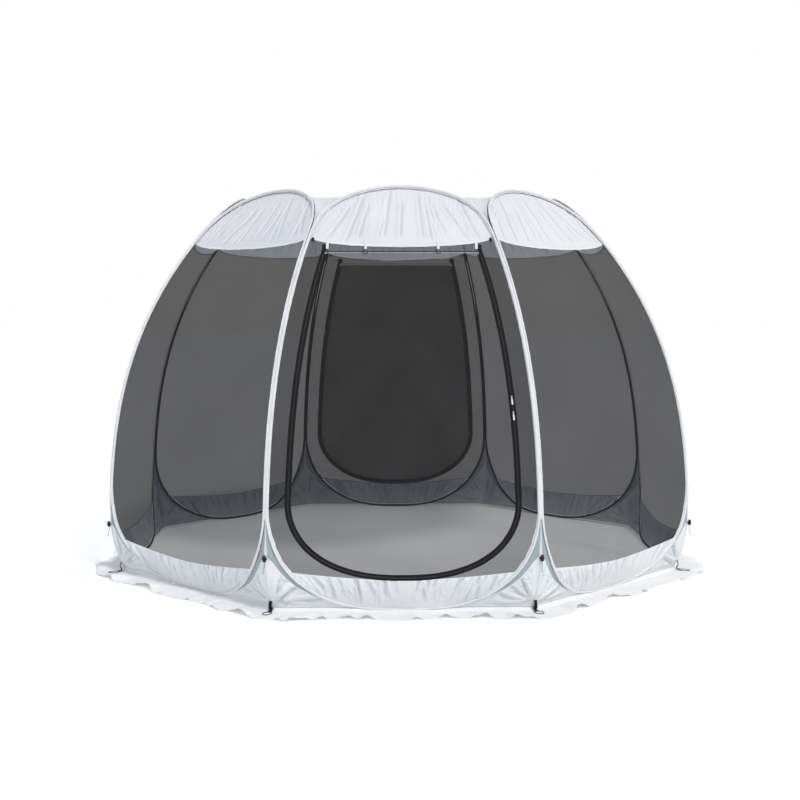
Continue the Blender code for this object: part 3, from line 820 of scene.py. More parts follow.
def make_door_wall(panel):
    """The netting from the hoop and the hem in to the zip, as one ring round the door."""
    q = np.linspace(0.0, BAND_END, 60)
    foot = band_top(q) - BAND_LAP
    side_z = np.linspace(foot[-1], 0.50, 40)
    foot_u = np.append(q * (seam_u(foot) - SEAM_GAP), net_u(side_z))
    low = foot_u, np.append(foot, side_z)
    side_z = np.linspace(0.50, hem_z(net_u(HEM_Z)) + SURROUND_LAP, 60)
    side = net_u(side_z), side_z
    corner = side[0][-1]
    hem_u = np.linspace(corner, 0.0, 60)
    hem = hem_u, hem_z(hem_u) + SURROUND_LAP
    hole_u, hole_z = door_half(ZIP_HALF - ZIP_LAP)
    split = 89
    hole = [(hole_u[: split + 1], hole_z[: split + 1]), (hole_u[split:], hole_z[split:])]
    hole.append((np.linspace(hole_u[-1], 0.0, 60), np.full(60, DOOR_TOP + 0.0015)))
    loops = []
    for parts in ((low, side, hem), hole):
        parts = [across_to(part, count) for part, count in zip(parts, (34, 60, 24))]
        u = np.concatenate([part[0][1 if k else 0 :] for k, part in enumerate(parts)])
        z = np.concatenate([part[1][1 if k else 0 :] for k, part in enumerate(parts)])
        loops.append((np.append(u, -u[-2:0:-1]), np.append(z, z[-2:0:-1])))
    share = np.linspace(0, 1, 9)[:, None]
    u = loops[0][0] + (loops[1][0] - loops[0][0]) * share
    z = loops[0][1] + (loops[1][1] - loops[0][1]) * share
    lift = 0.0015 * ripple(u, z, 20 + panel, 0.4) * np.sin(math.pi * share)
    behind = BEHIND_BAND * fade(share, 0.5, 0.0) * fade(z, 0.27, 0.22)
    behind = behind + BEHIND_HEM * fade(z, 1.925, 1.945)
    grid = on_panel(panel, u, z, lift - behind)
    name = PANELS[panel]
    obj = single_cloth(name + "_netting", grid, SURROUND_NET, wrap=True)
    placed(obj, replaces=[name + "_wall"])


def make_door(panel):
    u, z = door_half(-(ZIP_HALF - ZIP_LAP))
    u, z = across_to((u[6:], z[6:]), 66)
    z[-1] = DOOR_TOP
    share = np.linspace(-1, 1, 41)
    z = z[:, None] + 0 * share
    u = u[:, None] * share
    rise = np.linspace(0, 1, 66)[:, None]
    lift = 0.0022 * ripple(u, z, 30 + panel, 0.5) * (1 - share**6) * np.sin(math.pi * rise)
    grid = on_panel(panel, u, z, lift)
    name = PANELS[panel]
    obj = single_cloth(name + "_door_leaf", grid, DENSE_NET if panel else DOOR_NET)
    body = name + "_door"
    hang(obj, grid, body, replaces=[name + "_door"])
    x, y = rounded_box(*DOOR_HEADER).T
    half = float(door_half()[0][-1]) + ZIP_HALF
    line = on_panel(panel, np.linspace(-half, half, 60), DOOR_TOP + 0.0055)
    hinge = sweep(name + "_door_header", line, normal_at(panel, DOOR_TOP), np.stack([x, y], axis=1), [TAPE])
    placed(hinge)


BAND_LINES = 70
BAND_LAP = 0.005


def band_top(q):
    return NET_FOOT + 0.004 + 0.046 * (np.abs(q) / BAND_END) ** 1.6


def make_band(panel):
    q = np.linspace(-BAND_END, BAND_END, 281)
    rise = np.linspace(0, 1, 21)[:, None]
    low = foot_z(q) + WIRE_FOOT - 0.002
    z = low + (band_top(q) - low) * rise
    u = q * (seam_u(z) - SEAM_GAP)
    random = np.random.default_rng(70 + panel)
    lines = []
    for _ in range(BAND_LINES):
        at = random.uniform(-0.60, 0.60)
        drift = random.normal(0, 0.020) - 0.16 * at
        size = random.uniform(0.3, 1.0) ** 1.5
        reach = random.uniform(0.08, 0.20)
        end = at + drift, BAND_FOLD_TOP - reach
        lines.append((at, BAND_FOLD_TOP, *end, 0.0050 + 0.005 * size, 0.0072 * size))
    folds = creases(u, z, lines)
    lift = folds + 0.004 * ripple(u, z * 0.5, 80 + panel, 0.22)
    edge = fade(q, -BAND_END, -BAND_END + 0.10) * fade(q, BAND_END, BAND_END - 0.10)
    grid = on_panel(panel, u, z, lift * edge * fade(rise, 0.0, 0.15) * fade(rise, 1.0, 0.88))
    name = PANELS[panel]
    # Painted shade down in the band's folds, fading out at its ends.
    obj = double_cloth(name + "_band", grid, BAND, BAND_INSIDE, painted_shade=fold_shade(folds, *BAND_FOLD_SHADE) * edge)
    hang(obj, grid)


# Roof


# Where the roof folds start and end, in height
LONG_FOLD_START, LONG_FOLD_END = (1.955, 1.99), (2.20, 2.31)
SHORT_FOLD_START, SHORT_FOLD_RISE = (1.97, 2.10), (0.07, 0.20)
# Half the width that the long roof folds spread over
LOBE_FOLDS_HALF = 0.48
LOBE_SAG = 0.010
# The stitched crown draws the cloth up into small waves.
PUCKER_PITCH = 0.028
PUCKER_DEPTH = 0.0018


def make_lobe(panel):
    s = np.linspace(-1, 1, 281)
    t = np.linspace(0, 1, 45)[:, None]
    hem_u = s * net_u(HEM_Z)
    crown_u, crown = crown_half()
    keep = crown + WIRE_FOOT > HEM_Z + 0.03
    crown_u, crown = crown_u[keep] + 0.002, crown[keep] + WIRE_FOOT + 0.002
    u, z = np.append(crown_u, -crown_u[-2::-1]), np.append(crown, crown[-2::-1])
    top_u, top = across_to((-u, z), len(s))
    u = hem_u + (top_u - hem_u) * t
    z = hem_z(hem_u) + (top - hem_z(hem_u)) * t
    random = np.random.default_rng(90 + panel)
    lines = []
    for k in range(LONG_ROOF_FOLDS):
        at = (k - 5 + random.uniform(-0.35, 0.35)) / 5.6
        size = random.uniform(0.45, 1.0)
        tip = at * random.uniform(0.50, 0.80) + random.normal(0, 0.03)
        start, end = random.uniform(*LONG_FOLD_START), random.uniform(*LONG_FOLD_END)
        ends = at * LOBE_FOLDS_HALF, start, tip * LOBE_FOLDS_HALF, end
        lines.append((*ends, 0.0055 + 0.004 * size, 0.0066 * size))
    for k in range(SHORT_ROOF_FOLDS):
        side = 1 if k % 2 else -1
        at = side * random.uniform(0.12, 0.47)
        start = random.uniform(*SHORT_FOLD_START)
        size = random.uniform(0.2, 1.0)
        tip = at * random.uniform(0.78, 0.95)
        end = start + random.uniform(*SHORT_FOLD_RISE)
        lines.append((at, start, tip, end, 0.0045 + 0.002 * size, 0.0030 * size))
    along_crown = path_lengths(np.stack([top_u, top], axis=1), False)
    pucker = np.sin(along_crown * 2 * math.pi / PUCKER_PITCH + panel)
    folds = creases(u, z, lines)
    lift = folds - LOBE_SAG * np.sin(math.pi * t) * (1 - s**2)
    lift = lift + 0.0022 * ripple(u, z, 100 + panel, 0.12) * np.sin(math.pi * t)
    lift = lift * fade(t, 0.0, 0.06) * fade(t, 1.0, 0.94) + PUCKER_DEPTH * pucker * t**6 * (1 - t) * 9
    grid = on_panel(panel, u, z, lift)
    name = PANELS[panel]
    # Painted shade down in the roof cloth's folds.
    obj = double_cloth(name + "_roof_cloth", grid, SILVER, UNDERSIDE, painted_shade=fold_shade(folds, *ROOF_FOLD_SHADE))
    hang(obj, grid, replaces=[name + "_roof_lobe"])

    u = np.linspace(-0.992, 0.992, 90) * net_u(HEM_Z)
    wave = 0.0011 * ripple(u, 0.0, 110 + panel, 0.07)
    line = on_panel(panel, u, hem_z(u) + 0.0062 + wave, 0.0)
    out = normal_at(panel, line[:, 2])
    binding = sweep(name + "_hem", line, out, rounded_box(*HEM_STRIP), [BINDING])
    placed(binding)


RIDGE_R = 1.00
RIDGE_TOP = 2.235
# How far a seam tape stands off its cloth
TAPE_LIFT = 0.0012


def cap_rim():
    """The line where the cap meets the crowns, all the way round."""
    rim = []
    for panel in range(SIDES):
        u, z = crown_half()
        keep = z > 1.99
        u, z = u[keep], z[keep]
        u, z = np.append(-u, u[-2::-1]), np.append(z, z[-2::-1])
        rim.append(on_panel(panel, u, z + WIRE_FOOT, -0.001))
    return resample(np.concatenate(rim), 0.018, closed=True)


def make_cap():
    rim = cap_rim()
    flat = np.hypot(rim[:, 0], rim[:, 1])
    share = np.linspace(0.02, 1.0, 44)[:, None]
    grid = np.empty((len(share), len(rim), 3))
    grid[..., 0] = rim[:, 0] * share
    grid[..., 1] = rim[:, 1] * share
    round_rim = path_lengths(rim, True)
    random = np.random.default_rng(7)
    lines = []
    for _ in range(CAP_FOLDS):
        at = random.uniform(0, round_rim[-1])
        size = random.uniform(0.3, 1.0)
        end = random.uniform(0.75, 1.02)
        lines.append((at, random.uniform(0.25, 0.6), at + random.normal(0, 0.03), end, 0.016, 0.006 * size))
    folds = creases(round_rim + 0 * share, share + 0 * round_rim, lines)
    middle = CAP_MID_Z + (rim[:, 2] - CAP_MID_Z) * share**1.6
    turn = np.arctan2(rim[:, 1], rim[:, 0]) / (2 * HALF) - 0.5
    turn = (turn - np.round(turn)) * 2 * HALF
    ridge_r = RIDGE_R / np.cos(turn)
    top = RIDGE_TOP + (TOP_Z - RIDGE_TOP) * (turn / HALF) ** 2
    reach = flat * share
    inward = CAP_MID_Z + (top - CAP_MID_Z) * (reach / ridge_r) ** 1.6
    outward = rim[:, 2] + (top - rim[:, 2]) * fade(reach, flat + 0.003, ridge_r)
    ridge = np.where(reach < ridge_r, inward, outward)
    at_corner = fade(flat - ridge_r, 0.01, 0.06)
    grid[..., 2] = middle + at_corner * np.maximum(ridge - middle, 0) + folds * (1 - share**8)
    obj = double_cloth("roof_cap_cloth", grid, SILVER, UNDERSIDE, wrap=True)
    placed(obj, replaces=["roof_cap"])
    for corner in range(SIDES):
        out = corner_axes(corner)[0]
        column = int(np.argmax(rim @ out))
        line = grid[2:-1, column] + UP * TAPE_LIFT
        section = rounded_box(*CAP_SEAM)
        strip = sweep(CORNERS[corner].format("cap_seam"), line, UP, section, [BINDING])
        placed(strip)


# Gussets and the skirt on the ground


GUSSET_FOOT = 0.020
GUSSET_TOP = 0.50
# Width of the strip beside each sleeve that dips in and is darkened with painted shade
GUSSET_STRIP = 0.036
# Folds that fan out from the foot of the ridge: their turn in degrees, length and start
FAN_TURN, FAN_LONG, FAN_START = (-4, 84), (0.12, 0.42), (0.01, 0.06)
FAN_FOOT = 0.05
# Short folds that cross them
CROSS_TURN, CROSS_LONG = (-35, 25), (0.05, 0.13)
CROSS_OUT, CROSS_HIGH = (0.01, 0.10), (0.08, 0.34)


def make_gusset(corner):
    first, second = corner, (corner + 1) % SIDES
    z = GUSSET_FOOT + (GUSSET_TOP - GUSSET_FOOT) * np.linspace(0, 1, 84) ** 1.2
    edge = hoop_u(z - WIRE_FOOT) + 0.0050
    end = seam_u(z)
    wide = end - edge
    strip = GUSSET_STRIP * fade(z, 0.03, 0.16)
    strip = np.minimum(strip + (wide - strip) * fade(z, 0.27, 0.34), 0.82 * wide)
    inner = np.linspace(0, 1, 58)[1:]
    places = [0 * z, 0.35 * strip, 0.75 * strip, strip, strip + 0.02 * wide]
    places += [strip + 0.02 * wide + (wide * 0.98 - strip) * k for k in inner]
    away = np.stack(places, axis=1)
    # Painted shade along each sleeve: the first four columns, out to the strip's width, are darkened fully.
    shade = np.concatenate([np.ones(4), np.zeros(len(inner) + 1)])
    halves = []
    painted_shades = []
    random = np.random.default_rng(130 + corner)
    for panel, side in ((first, 1), (second, -1)):
        x = wide[:, None] - away
        lines = []
        for _ in range(FAN_FOLDS):
            turn = math.radians(random.uniform(*FAN_TURN))
            long = random.uniform(*FAN_LONG)
            start = random.uniform(*FAN_START)
            size = random.uniform(0.35, 1.0)
            x0, z0 = start * math.cos(turn), FAN_FOOT + start * math.sin(turn)
            x1, z1 = x0 + long * math.cos(turn), z0 + long * math.sin(turn)
            lines.append((x0, z0, x1, z1, 0.0070 + 0.004 * size, 0.0068 * size))
        for _ in range(CROSS_FOLDS):
            x0, z0 = random.uniform(*CROSS_OUT), random.uniform(*CROSS_HIGH)
            turn = math.radians(random.uniform(*CROSS_TURN))
            long = random.uniform(*CROSS_LONG)
            x1, z1 = x0 + long * math.cos(turn), z0 + long * math.sin(turn)
            lines.append((x0, z0, x1, z1, 0.0065, 0.0034 * random.uniform(0.4, 1.0)))
        level = z[:, None] + 0 * x
        folds = creases(x, level, lines)
        lift = folds + 0.003 * ripple(x, level, 150 + corner + 8 * side, 0.12)
        inside = np.clip(x / 0.02, 0, 1) * fade(away - strip[:, None], 0.0, 0.025)
        rise = fade(level, 0.02, 0.05) * fade(level, GUSSET_TOP, 0.40)
        rise = rise * fade(wide - strip, 0.010, 0.045)[:, None]
        lift = lift * inside * rise - 0.0035 * np.exp(-(((away - 0.6 * strip[:, None]) / 0.012) ** 2)) * rise
        halves.append(on_panel(panel, side * (edge[:, None] + away), level, lift))
        # Painted shade: the darker of the fold shade and the strip beside the sleeve.
        painted_shades.append(np.maximum(fold_shade(folds, *GUSSET_FOLD_SHADE) * inside * rise, shade))
    grid = np.concatenate([halves[0], halves[1][:, -2::-1]], axis=1)
    painted_shade = np.concatenate([painted_shades[0], painted_shades[1][:, -2::-1]], axis=1)
    name = CORNERS[corner]
    obj = double_cloth(name.format("gusset_cloth"), grid, GUSSET, BAND_INSIDE, painted_shade=painted_shade)
    replaced = [name.format("gusset")]
    hang(obj, grid, replaces=replaced, high=z[-1] - z[0])
    out = corner_axes(corner)[0]
    line = halves[0][1:, -1] + out * TAPE_LIFT
    seam = sweep(name.format("ridge_seam"), line, out, rounded_box(*RIDGE_SEAM), [BINDING])
    placed(seam)
    z = np.linspace(GUSSET_TOP, CROWN_Z - 0.01, 160)
    line = out * (wall_r(z) / math.cos(HALF) + 0.0040)[:, None] + UP * z[:, None]
    thick = rounded_box(*SLEEVE_SEAM)
    join_strip = sweep(name.format("sleeve_seam"), line, out, thick, [SLEEVE])
    placed(join_strip)


# Where the skirt starts and ends going under the gussets, out from the wall
SKIRT_TUCK = (0.034, 0.012)
# Half of one side of the skirt, as the measure that its waves run along
SIDE_HALF = 0.72


def make_skirt():
    shares = np.linspace(-1, 1, 97)[:-1]
    reach = np.append([0.0120, 0.0165, 0.022, 0.032, 0.044], np.linspace(0.058, 0.190, 13))
    grid = np.empty((len(reach), 0, 3))
    length = 0.0
    for panel in range(SIDES):
        out, across = panel_axes(panel)
        edge = wall_r(0.0) + reach[:, None] + 0 * shares
        last = fade(reach, 0.10, 0.19)[:, None]
        place = length + shares * SIDE_HALF + 0 * reach[:, None]
        length += 2 * SIDE_HALF
        edge = edge + last * (0.014 * np.cos(3 * math.pi * shares) + 0.016 * ripple(place, 0.0, 5, 0.20))
        under = fade(np.abs(shares), 0.30, 0.42) * fade(reach, *SKIRT_TUCK)[:, None]
        edge = edge - 0.009 * under
        half = edge * math.tan(HALF)
        ends = 1 - np.exp(-(((1 - np.abs(shares)) * SIDE_HALF / 0.06) ** 2))
        folds = ripple(place, reach[:, None] * 0.35, 11, 0.20, 12) + 0.6 * ripple(place, 0.0, 17, 0.075, 12)
        high = 0.0010 + 0.0170 * fade(reach, 0.02, 0.19)[:, None] * np.clip(folds + 0.25, 0, 1.8) * ends
        top = 0.005 + 0.013 * fade(np.abs(shares), 0.25, 0.42)
        high = high + (top - 0.001) * fade(reach, *SKIRT_TUCK)[:, None]
        flat = out * edge[..., None] + across * (half * shares)[..., None] + UP * high[..., None]
        grid = np.concatenate([grid, flat], axis=1)
    obj = double_cloth("skirt_cloth", grid, GROUND, GROUND, wrap=True)
    hang(obj, grid, replaces=["ground_skirt"], wrap=True)


for panel in range(SIDES):
    make_hoop(panel)
    if panel in DOOR_PANELS:
        make_door_wall(panel)
        make_door(panel)
    else:
        make_net(panel)
    make_band(panel)
    make_lobe(panel)
    make_gusset(panel)
make_cap()
make_skirt()


# Zips


ZIP_TOP = 1.950


def zip_line(panel, top):
    """A zip's middle line, down the left of the door, round its foot and up the right."""
    u, z = door_half(0.0, top)
    u, z = np.append(-u[:0:-1], u), np.append(z[:0:-1], z)
    return resample(on_panel(panel, u, z), 0.010)


def make_zip(panel):
    """Two half tapes, the outer one sewn to the wall and the inner one to the door."""
    name = PANELS[panel]
    half = [(0.0006, -0.0008), (0.0165, -0.0008), (0.0170, 0.0004), (0.0150, 0.0012), (0.0125, 0.0006)]
    half += [(0.0085, 0.0008), (0.0064, 0.0011), (0.0045, 0.0010), (0.0030, 0.0011)]
    half += [(0.0027, 0.0022), (0.0021, 0.0030), (0.0011, 0.0030), (0.0005, 0.0022)]
    backed = [(-0.0055, -0.0018), (0.0150, -0.0018)] + half[2:] + [(0.0005, -0.0010), (-0.0055, -0.0010)]
    sides = [("outer", HOUSE, 1, ZIP_TOP), ("inner", name + "_door", -1, DOOR_TOP - 0.008)]
    for which, body, turn, top in sides:
        shape = backed if turn == 1 else half
        skins = [0] * 8 + [1] * 5 + [0] * (len(shape) - 13)
        line = zip_line(panel, top)
        out = normal_at(panel, line[:, 2])
        section = np.array(shape) * (turn, 1)
        wave = 1 + 0.02 * ripple(path_lengths(line, False), 0.0, 170 + panel + turn, 0.09)
        section = section[None] * np.stack([wave, 1 + 0 * wave], axis=1)[:, None]
        tape = sweep(name + "_zip_" + which, line, out, section, [TAPE, COIL], section_skins=skins)
        placed(tape, body, [name + "_door_zip"] if turn == 1 else ())
    for side in (-1, 1):
        u, z = door_half(0.0, ZIP_TOP - 0.025)
        end = on_panel(panel, side * u[-1], z[-1] - 0.004, 0.0022)
        line = end + np.linspace(0, 1, 8)[:, None] * (on_panel(panel, side * u[-1], 1.952, 0.0030) - end)
        garage = sweep(
            "{}_zip_end_{}".format(name, "left" if side < 0 else "right"),
            line,
            normal_at(panel, 1.93),
            rounded_box(*ZIP_END_TAPE),
            [BLACK_STRAP],
        )
        placed(garage)


def zip_frame(panel, z):
    """(place, along the zip upward, across it, out from it) on the right-hand side of a door."""
    u = seam_u(np.array([z - 0.01, z, z + 0.01])) - DOOR_INSET
    low, place, high = on_panel(panel, u, np.array([z - 0.01, z, z + 0.01]))
    along = unit(high - low)
    out = normal_at(panel, np.array(z))
    out = unit(out - along * (out @ along))
    return place, along, np.cross(along, out), out


def squarish(wave, power):
    """A sine or cosine bent toward a square wave, for outlines with soft corners."""
    return np.sign(wave) * np.abs(wave) ** power


def bar(name, path, lift, section, skin):
    return sweep(name, np.array(path), lift, section, [skin])


def bent(points, count):
    """A line through these points with its corners cut off three times over."""
    line = np.array(points, float)
    for _ in range(3):
        cut = [line[:1]]
        for a, b in zip(line[:-1], line[1:]):
            cut.append(np.array([a * 0.75 + b * 0.25, a * 0.25 + b * 0.75]))
        line = np.concatenate(cut + [line[-1:]])
    lengths = path_lengths(line, False)
    at = np.linspace(0, lengths[-1], count)
    return np.stack([np.interp(at, lengths, line[:, k]) for k in range(3)], axis=1)


def make_slider(panel, which):
    """A zip slider: a channelled body that narrows to its tail, and a bridge over it."""
    place, along, across, out = zip_frame(panel, SLIDER_Z[which])
    step = np.linspace(-0.5, 0.5, 15)
    turn = 1 if which == "upper" else -1
    wide = 0.5 * (0.0118 + 0.0042 * fade(step * turn, -0.42, 0.1) - 0.0035 * fade(step * turn, 0.40, 0.5))
    top = SLIDER_TOP - 0.0022 * (2 * np.abs(step)) ** 3
    rows = []
    for half, high in zip(wide, top):
        right = [(half, 0.0018), (half + 0.0003, 0.0030), (half - 0.0008, 0.0046), (half - 0.0024, 0.0058)]
        right += [(0.0030, 0.0064), (0.0024, high)]
        channel = [(-0.0046, 0.0018), (-0.0046, 0.0048), (0.0046, 0.0048), (0.0046, 0.0018)]
        rows.append(channel + right + [(-x, y) for x, y in reversed(right)])
    line = place + along * (step * SLIDER_LONG)[:, None]
    body = sweep("slider_body", line, out, np.array(rows), [PLASTIC])
    parts = [body]
    pin = place + along * PIN_UP + out * PULL_UP
    for side in (-1, 1):
        foot = place + out * (SLIDER_TOP - 0.0035) + across * side * 0.0060
        cheek = bent(
            [foot + along * 0.0005, foot + along * 0.004 + out * 0.004, pin + across * side * 0.0060], 9
        )
        section = rounded_box(*SLIDER_CHEEK)
        parts.append(bar("slider_cheek", cheek, across * side, section, PLASTIC))
    ends = [pin - across * 0.0066, pin + across * 0.0066]
    parts.append(bar("slider_pin", ends, out, ellipse(0.0015, 0.0015, 12), STEEL))
    node = "{}_zip_slider_{}".format(PANELS[panel], which)
    placed(join(node + "_body", parts), node, [node])


def make_pull(panel, which):
    """A pale pull: a ring round the pin, a waist, and a tab with a rounded end and a ribbed grip."""
    place, along, across, out = zip_frame(panel, SLIDER_Z[which])
    pin = place + along * PIN_UP + out * PULL_UP
    turn = full_turn(24)[:, None]
    ring = pin + along * (0.0024 * np.sin(turn) - 0.0014) + across * 0.0032 * np.cos(turn)
    parts = [sweep("pull_ring", ring, out, ellipse(0.0018, 0.0020, 10), [PULL], closed=True)]
    down = np.linspace(0.0034, PULL_LONG, 34)
    share = (down - down[0]) / (down[-1] - down[0])
    half = 0.0019 + 0.0026 * fade(share, 0.10, 0.42)
    half = half * np.sqrt(np.clip(1 - np.clip((share - 0.91) / 0.095, 0, 1) ** 2, 0.02, 1))
    grip = 0.00025 * np.sin(share * 2 * math.pi * 13) * fade(share, 0.42, 0.5) * fade(share, 0.95, 0.88)
    rows = []
    for w, g in zip(half, grip):
        shape = rounded_box(2.0, 2.0, 0.7, 3)
        rows.append(shape * (w, 0.00115 + g))
    line = pin - along * down[:, None]
    parts.append(sweep("pull_tab", line, out, np.array(rows), [PULL]))
    node = "{}_zip_pull_{}".format(PANELS[panel], which)
    placed(join(node + "_tab", parts), node, [node])


# Straps, toggles and peg loops

TIES = (-0.41, -0.20, 0.20, 0.41)
RIDGE_TOGGLE = 0.036
HEM_TOGGLE = 0.026
CORD_THICK = 0.0028
CORD_STEPS = 24
CORD_DROP = 0.056
HEM_TOGGLE_Z = 1.975
TOGGLE_Z = 0.300


def make_tie(number, u):
    """A strap from under the front hem: the middle two end in a hook, the outer two in a hem."""
    hooked = abs(u) < 0.3
    down = np.linspace(0, 0.047 if hooked else 0.043, 14)
    z = TIE_Z - 0.001 - down
    bow = 0.0022 * np.sin(math.pi * down / down[-1])
    line = on_panel(0, u, z, 0.0066 + bow)
    lift = normal_at(0, z)
    name = "door_tie_{}".format(number)
    parts = [sweep("strap", line, lift, rounded_box(*TIE_STRAP), [STRAP])]
    doubled = line[-5:] + lift[-5:] * 0.0016
    parts.append(sweep("strap_end", doubled, lift[-5:], rounded_box(*TIE_HEM), [STRAP]))
    if hooked:
        across = panel_axes(0)[1]
        end = line[-1]
        hook = [(0.0110, 0.002), (-0.0110, 0.002), (-0.0125, -0.008), (-0.010, -0.0185), (0.001, -0.0225)]
        hook += [(0.0115, -0.0175), (0.0125, -0.0080)]
        points = [end + across * x + UP * y + lift[-1] * 0.0002 for x, y in hook]
        parts.append(bar("hook", bent(points, 40), lift[-1], ellipse(0.0052, 0.0036, 10), PLASTIC))
    placed(join(name + "_strap", parts), name, [name])


TAB_STEPS = 12


def make_toggle(name, place, out, along, size):
    """A waisted plastic toggle that lies along a direction, held by a short webbing tab."""
    step = np.linspace(-0.5, 0.5, 17)
    half = size * (0.26 + 0.06 * (2 * step) ** 2) * np.sqrt(np.clip(1 - (2 * step) ** 10, 0.02, 1))
    rows = np.stack([ellipse(2.0, 1.7, 14) * h for h in half])
    centre = place + out * size * 0.34
    body = sweep(name, centre + along * (step * size)[:, None], out, rows, [PLASTIC])
    side = np.cross(along, out)
    band = []
    for k in range(TAB_STEPS + 1):
        turn = math.pi * (k / TAB_STEPS)
        band.append(centre + side * size * 0.30 * math.cos(turn) + out * size * 0.27 * math.sin(turn))
    band = [band[0] - out * size * 0.30] + band + [band[-1] - out * size * 0.30]
    tab = sweep("tab", np.array(band), along, rounded_box(0.0012, size * 0.3, 0.0005), [BLACK_STRAP])
    placed(join(name, [body, tab]))


KNOT_DROPS = (0.0, 0.001, 0.003, 0.005, 0.006)
KNOT_WIDTHS = (0.0022, 0.0044, 0.0052, 0.0044, 0.0020)
PEG_STRAP_TOP = 0.060
BUCKLE_HALF = (0.0128, 0.0098)
BUCKLE_WIRE = (0.0040, 0.0034)
BUCKLE_BAR_HALF = 0.0120
PEG_LOOP_WIRE = 0.0040
PEG_LOOP_POWER = 0.6
PEG_LOOP_TAPER = 0.45


def make_corner_fittings(corner):
    """The ridge toggle with its loose cord, and the strap and buckle that hold the peg loop."""
    name = CORNERS[corner]
    out, across = corner_axes(corner)
    level = TOGGLE_Z
    ridge = out * float(wall_r(level)) / math.cos(HALF) + UP * level
    slope = unit(out * float(lean(level)) / math.cos(HALF) + UP)
    lift = unit(out - slope * (out @ slope))
    make_toggle(name.format("ridge_toggle"), ridge + lift * 0.0010, lift, slope, RIDGE_TOGGLE)

    drop = ridge - slope * 0.014 + lift * 0.0110
    line = [drop]
    for k in range(1, CORD_STEPS + 1):
        share = k / CORD_STEPS
        sway = 0.004 * math.sin(5 * share + corner)
        line.append(drop - UP * CORD_DROP * share + out * 0.010 * share**2 + across * sway * share)
    line = np.array(line)
    cord = sweep(name.format("toggle_cord"), line, out, ellipse(CORD_THICK, CORD_THICK, 10), [CORD])
    knot = sweep(
        name.format("cord_knot"),
        line[-1] - UP * np.array(KNOT_DROPS)[:, None],
        out,
        np.stack([ellipse(w, w, 12) for w in KNOT_WIDTHS]),
        [CORD],
    )
    placed(cord)
    placed(knot)

    base = (float(wall_r(0.0)) + PEG_OUT) / math.cos(HALF)
    foot = out * float(wall_r(PEG_STRAP_TOP)) / math.cos(HALF) + UP * PEG_STRAP_TOP
    points = [foot + out * 0.002, foot + out * 0.012 - UP * 0.022, out * (base - 0.020) + UP * 0.010]
    points += [out * (base - 0.004) + UP * 0.0068, out * (base + 0.0040) + UP * 0.0078]
    line = bent(points, 30)
    parts = [sweep("strap", line, UP + out * 0.8, rounded_box(*PEG_STRAP), [BLACK_STRAP])]
    middle = line[17]
    up_strap = unit(line[18] - line[16])
    normal = unit(np.cross(across, up_strap))
    normal = normal if normal[2] > 0 else -normal
    turn = full_turn(28)[:, None]
    square = squarish(np.cos(turn), 0.5), squarish(np.sin(turn), 0.5)
    half_wide, half_long = BUCKLE_HALF
    frame_line = middle + normal * 0.0020 + across * half_wide * square[0] + up_strap * half_long * square[1]
    parts.append(sweep("buckle", frame_line, normal, ellipse(*BUCKLE_WIRE, 10), [PLASTIC], closed=True))
    ends = [middle + normal * 0.0030 + across * side * BUCKLE_BAR_HALF for side in (-1, 1)]
    parts.append(bar("buckle_bar", ends, normal, rounded_box(*BUCKLE_BAR), PLASTIC))
    placed(join(name.format("peg_strap"), parts))

    node = name.format("peg_loop")
    start = out * base + UP * 0.0038
    turn = full_turn(56)[:, None]
    x = LOOP_WIDE / 2 * squarish(np.cos(turn), PEG_LOOP_POWER)
    x = x * (1 - PEG_LOOP_TAPER * np.maximum(np.sin(turn), 0.0))
    y = LOOP_LONG / 2 * (1 + squarish(np.sin(turn), PEG_LOOP_POWER))
    line = start + across * x + out * y
    ring = sweep(node + "_ring", line, UP, ellipse(PEG_LOOP_WIRE, PEG_LOOP_WIRE, 12), [PLASTIC], True)
    placed(ring, node, [node])


LANTERN_HALF_WIDE = 0.019
LANTERN_HALF_HIGH = 0.021
LANTERN_DROP = 0.024
PATCH_HALF = 0.055
# How square the patch's outline is: 2 is a circle
PATCH_POWER = 6


def make_lantern_loop():
    pivot = np.array([0.0, 0.0, CAP_MID_Z - 0.004])
    turn = full_turn(48)[:, None]
    sideways = np.array([LANTERN_HALF_WIDE, 0, 0]) * np.sin(turn)
    line = pivot + sideways + UP * (LANTERN_HALF_HIGH * np.cos(turn) - LANTERN_DROP)
    wide = 0.0045 + 0.0045 * fade(np.cos(turn), 0.95, 0.60)
    strap = rounded_box(2.0, 2.0, 0.7) * np.stack([0.0009 + 0 * wide, wide / 2], axis=2)
    loop = sweep("lantern_loop_webbing", line, (0.0, 1.0, 0.0), strap, [STRAP], True)
    placed(loop, "lantern_loop", ["lantern_loop"])
    share = np.linspace(0.0, 1.0, 6)[:, None]
    turn = full_turn(48)
    power = np.abs(np.cos(turn)) ** PATCH_POWER + np.abs(np.sin(turn)) ** PATCH_POWER
    rim = PATCH_HALF * power ** (-1 / PATCH_POWER)
    for name, high in (("ceiling_patch", -0.0020), ("cap_patch", 0.0022)):
        size = rim * np.maximum(share, 0.02)
        grid = np.stack([size * np.cos(turn), size * np.sin(turn), CAP_MID_Z + high + 0 * size], axis=2)
        patch = double_cloth(name, grid, SILVER, UNDERSIDE, thick=0.0014, wrap=True)
        placed(patch)


def make_hem_toggles(panel):
    """A small toggle on each side of a door panel, where the hem meets the sleeve."""
    for side, word in ((-1, "left"), (1, "right")):
        z = HEM_TOGGLE_Z
        u = side * (float(net_u(z)) - 0.030)
        place = on_panel(panel, u, z, 0.001)
        out = normal_at(panel, np.array(z))
        along = unit(np.cross(out, panel_axes(panel)[1]))
        make_toggle("{}_hem_toggle_{}".format(PANELS[panel], word), place, out, along, HEM_TOGGLE)


for panel in DOOR_PANELS:
    make_zip(panel)
    make_hem_toggles(panel)
    for which in SLIDER_Z:
        make_slider(panel, which)
        make_pull(panel, which)
for number, u in enumerate(TIES):
    make_tie(number + 1, u)
for corner in range(SIDES):
    make_corner_fittings(corner)
make_lantern_loop()

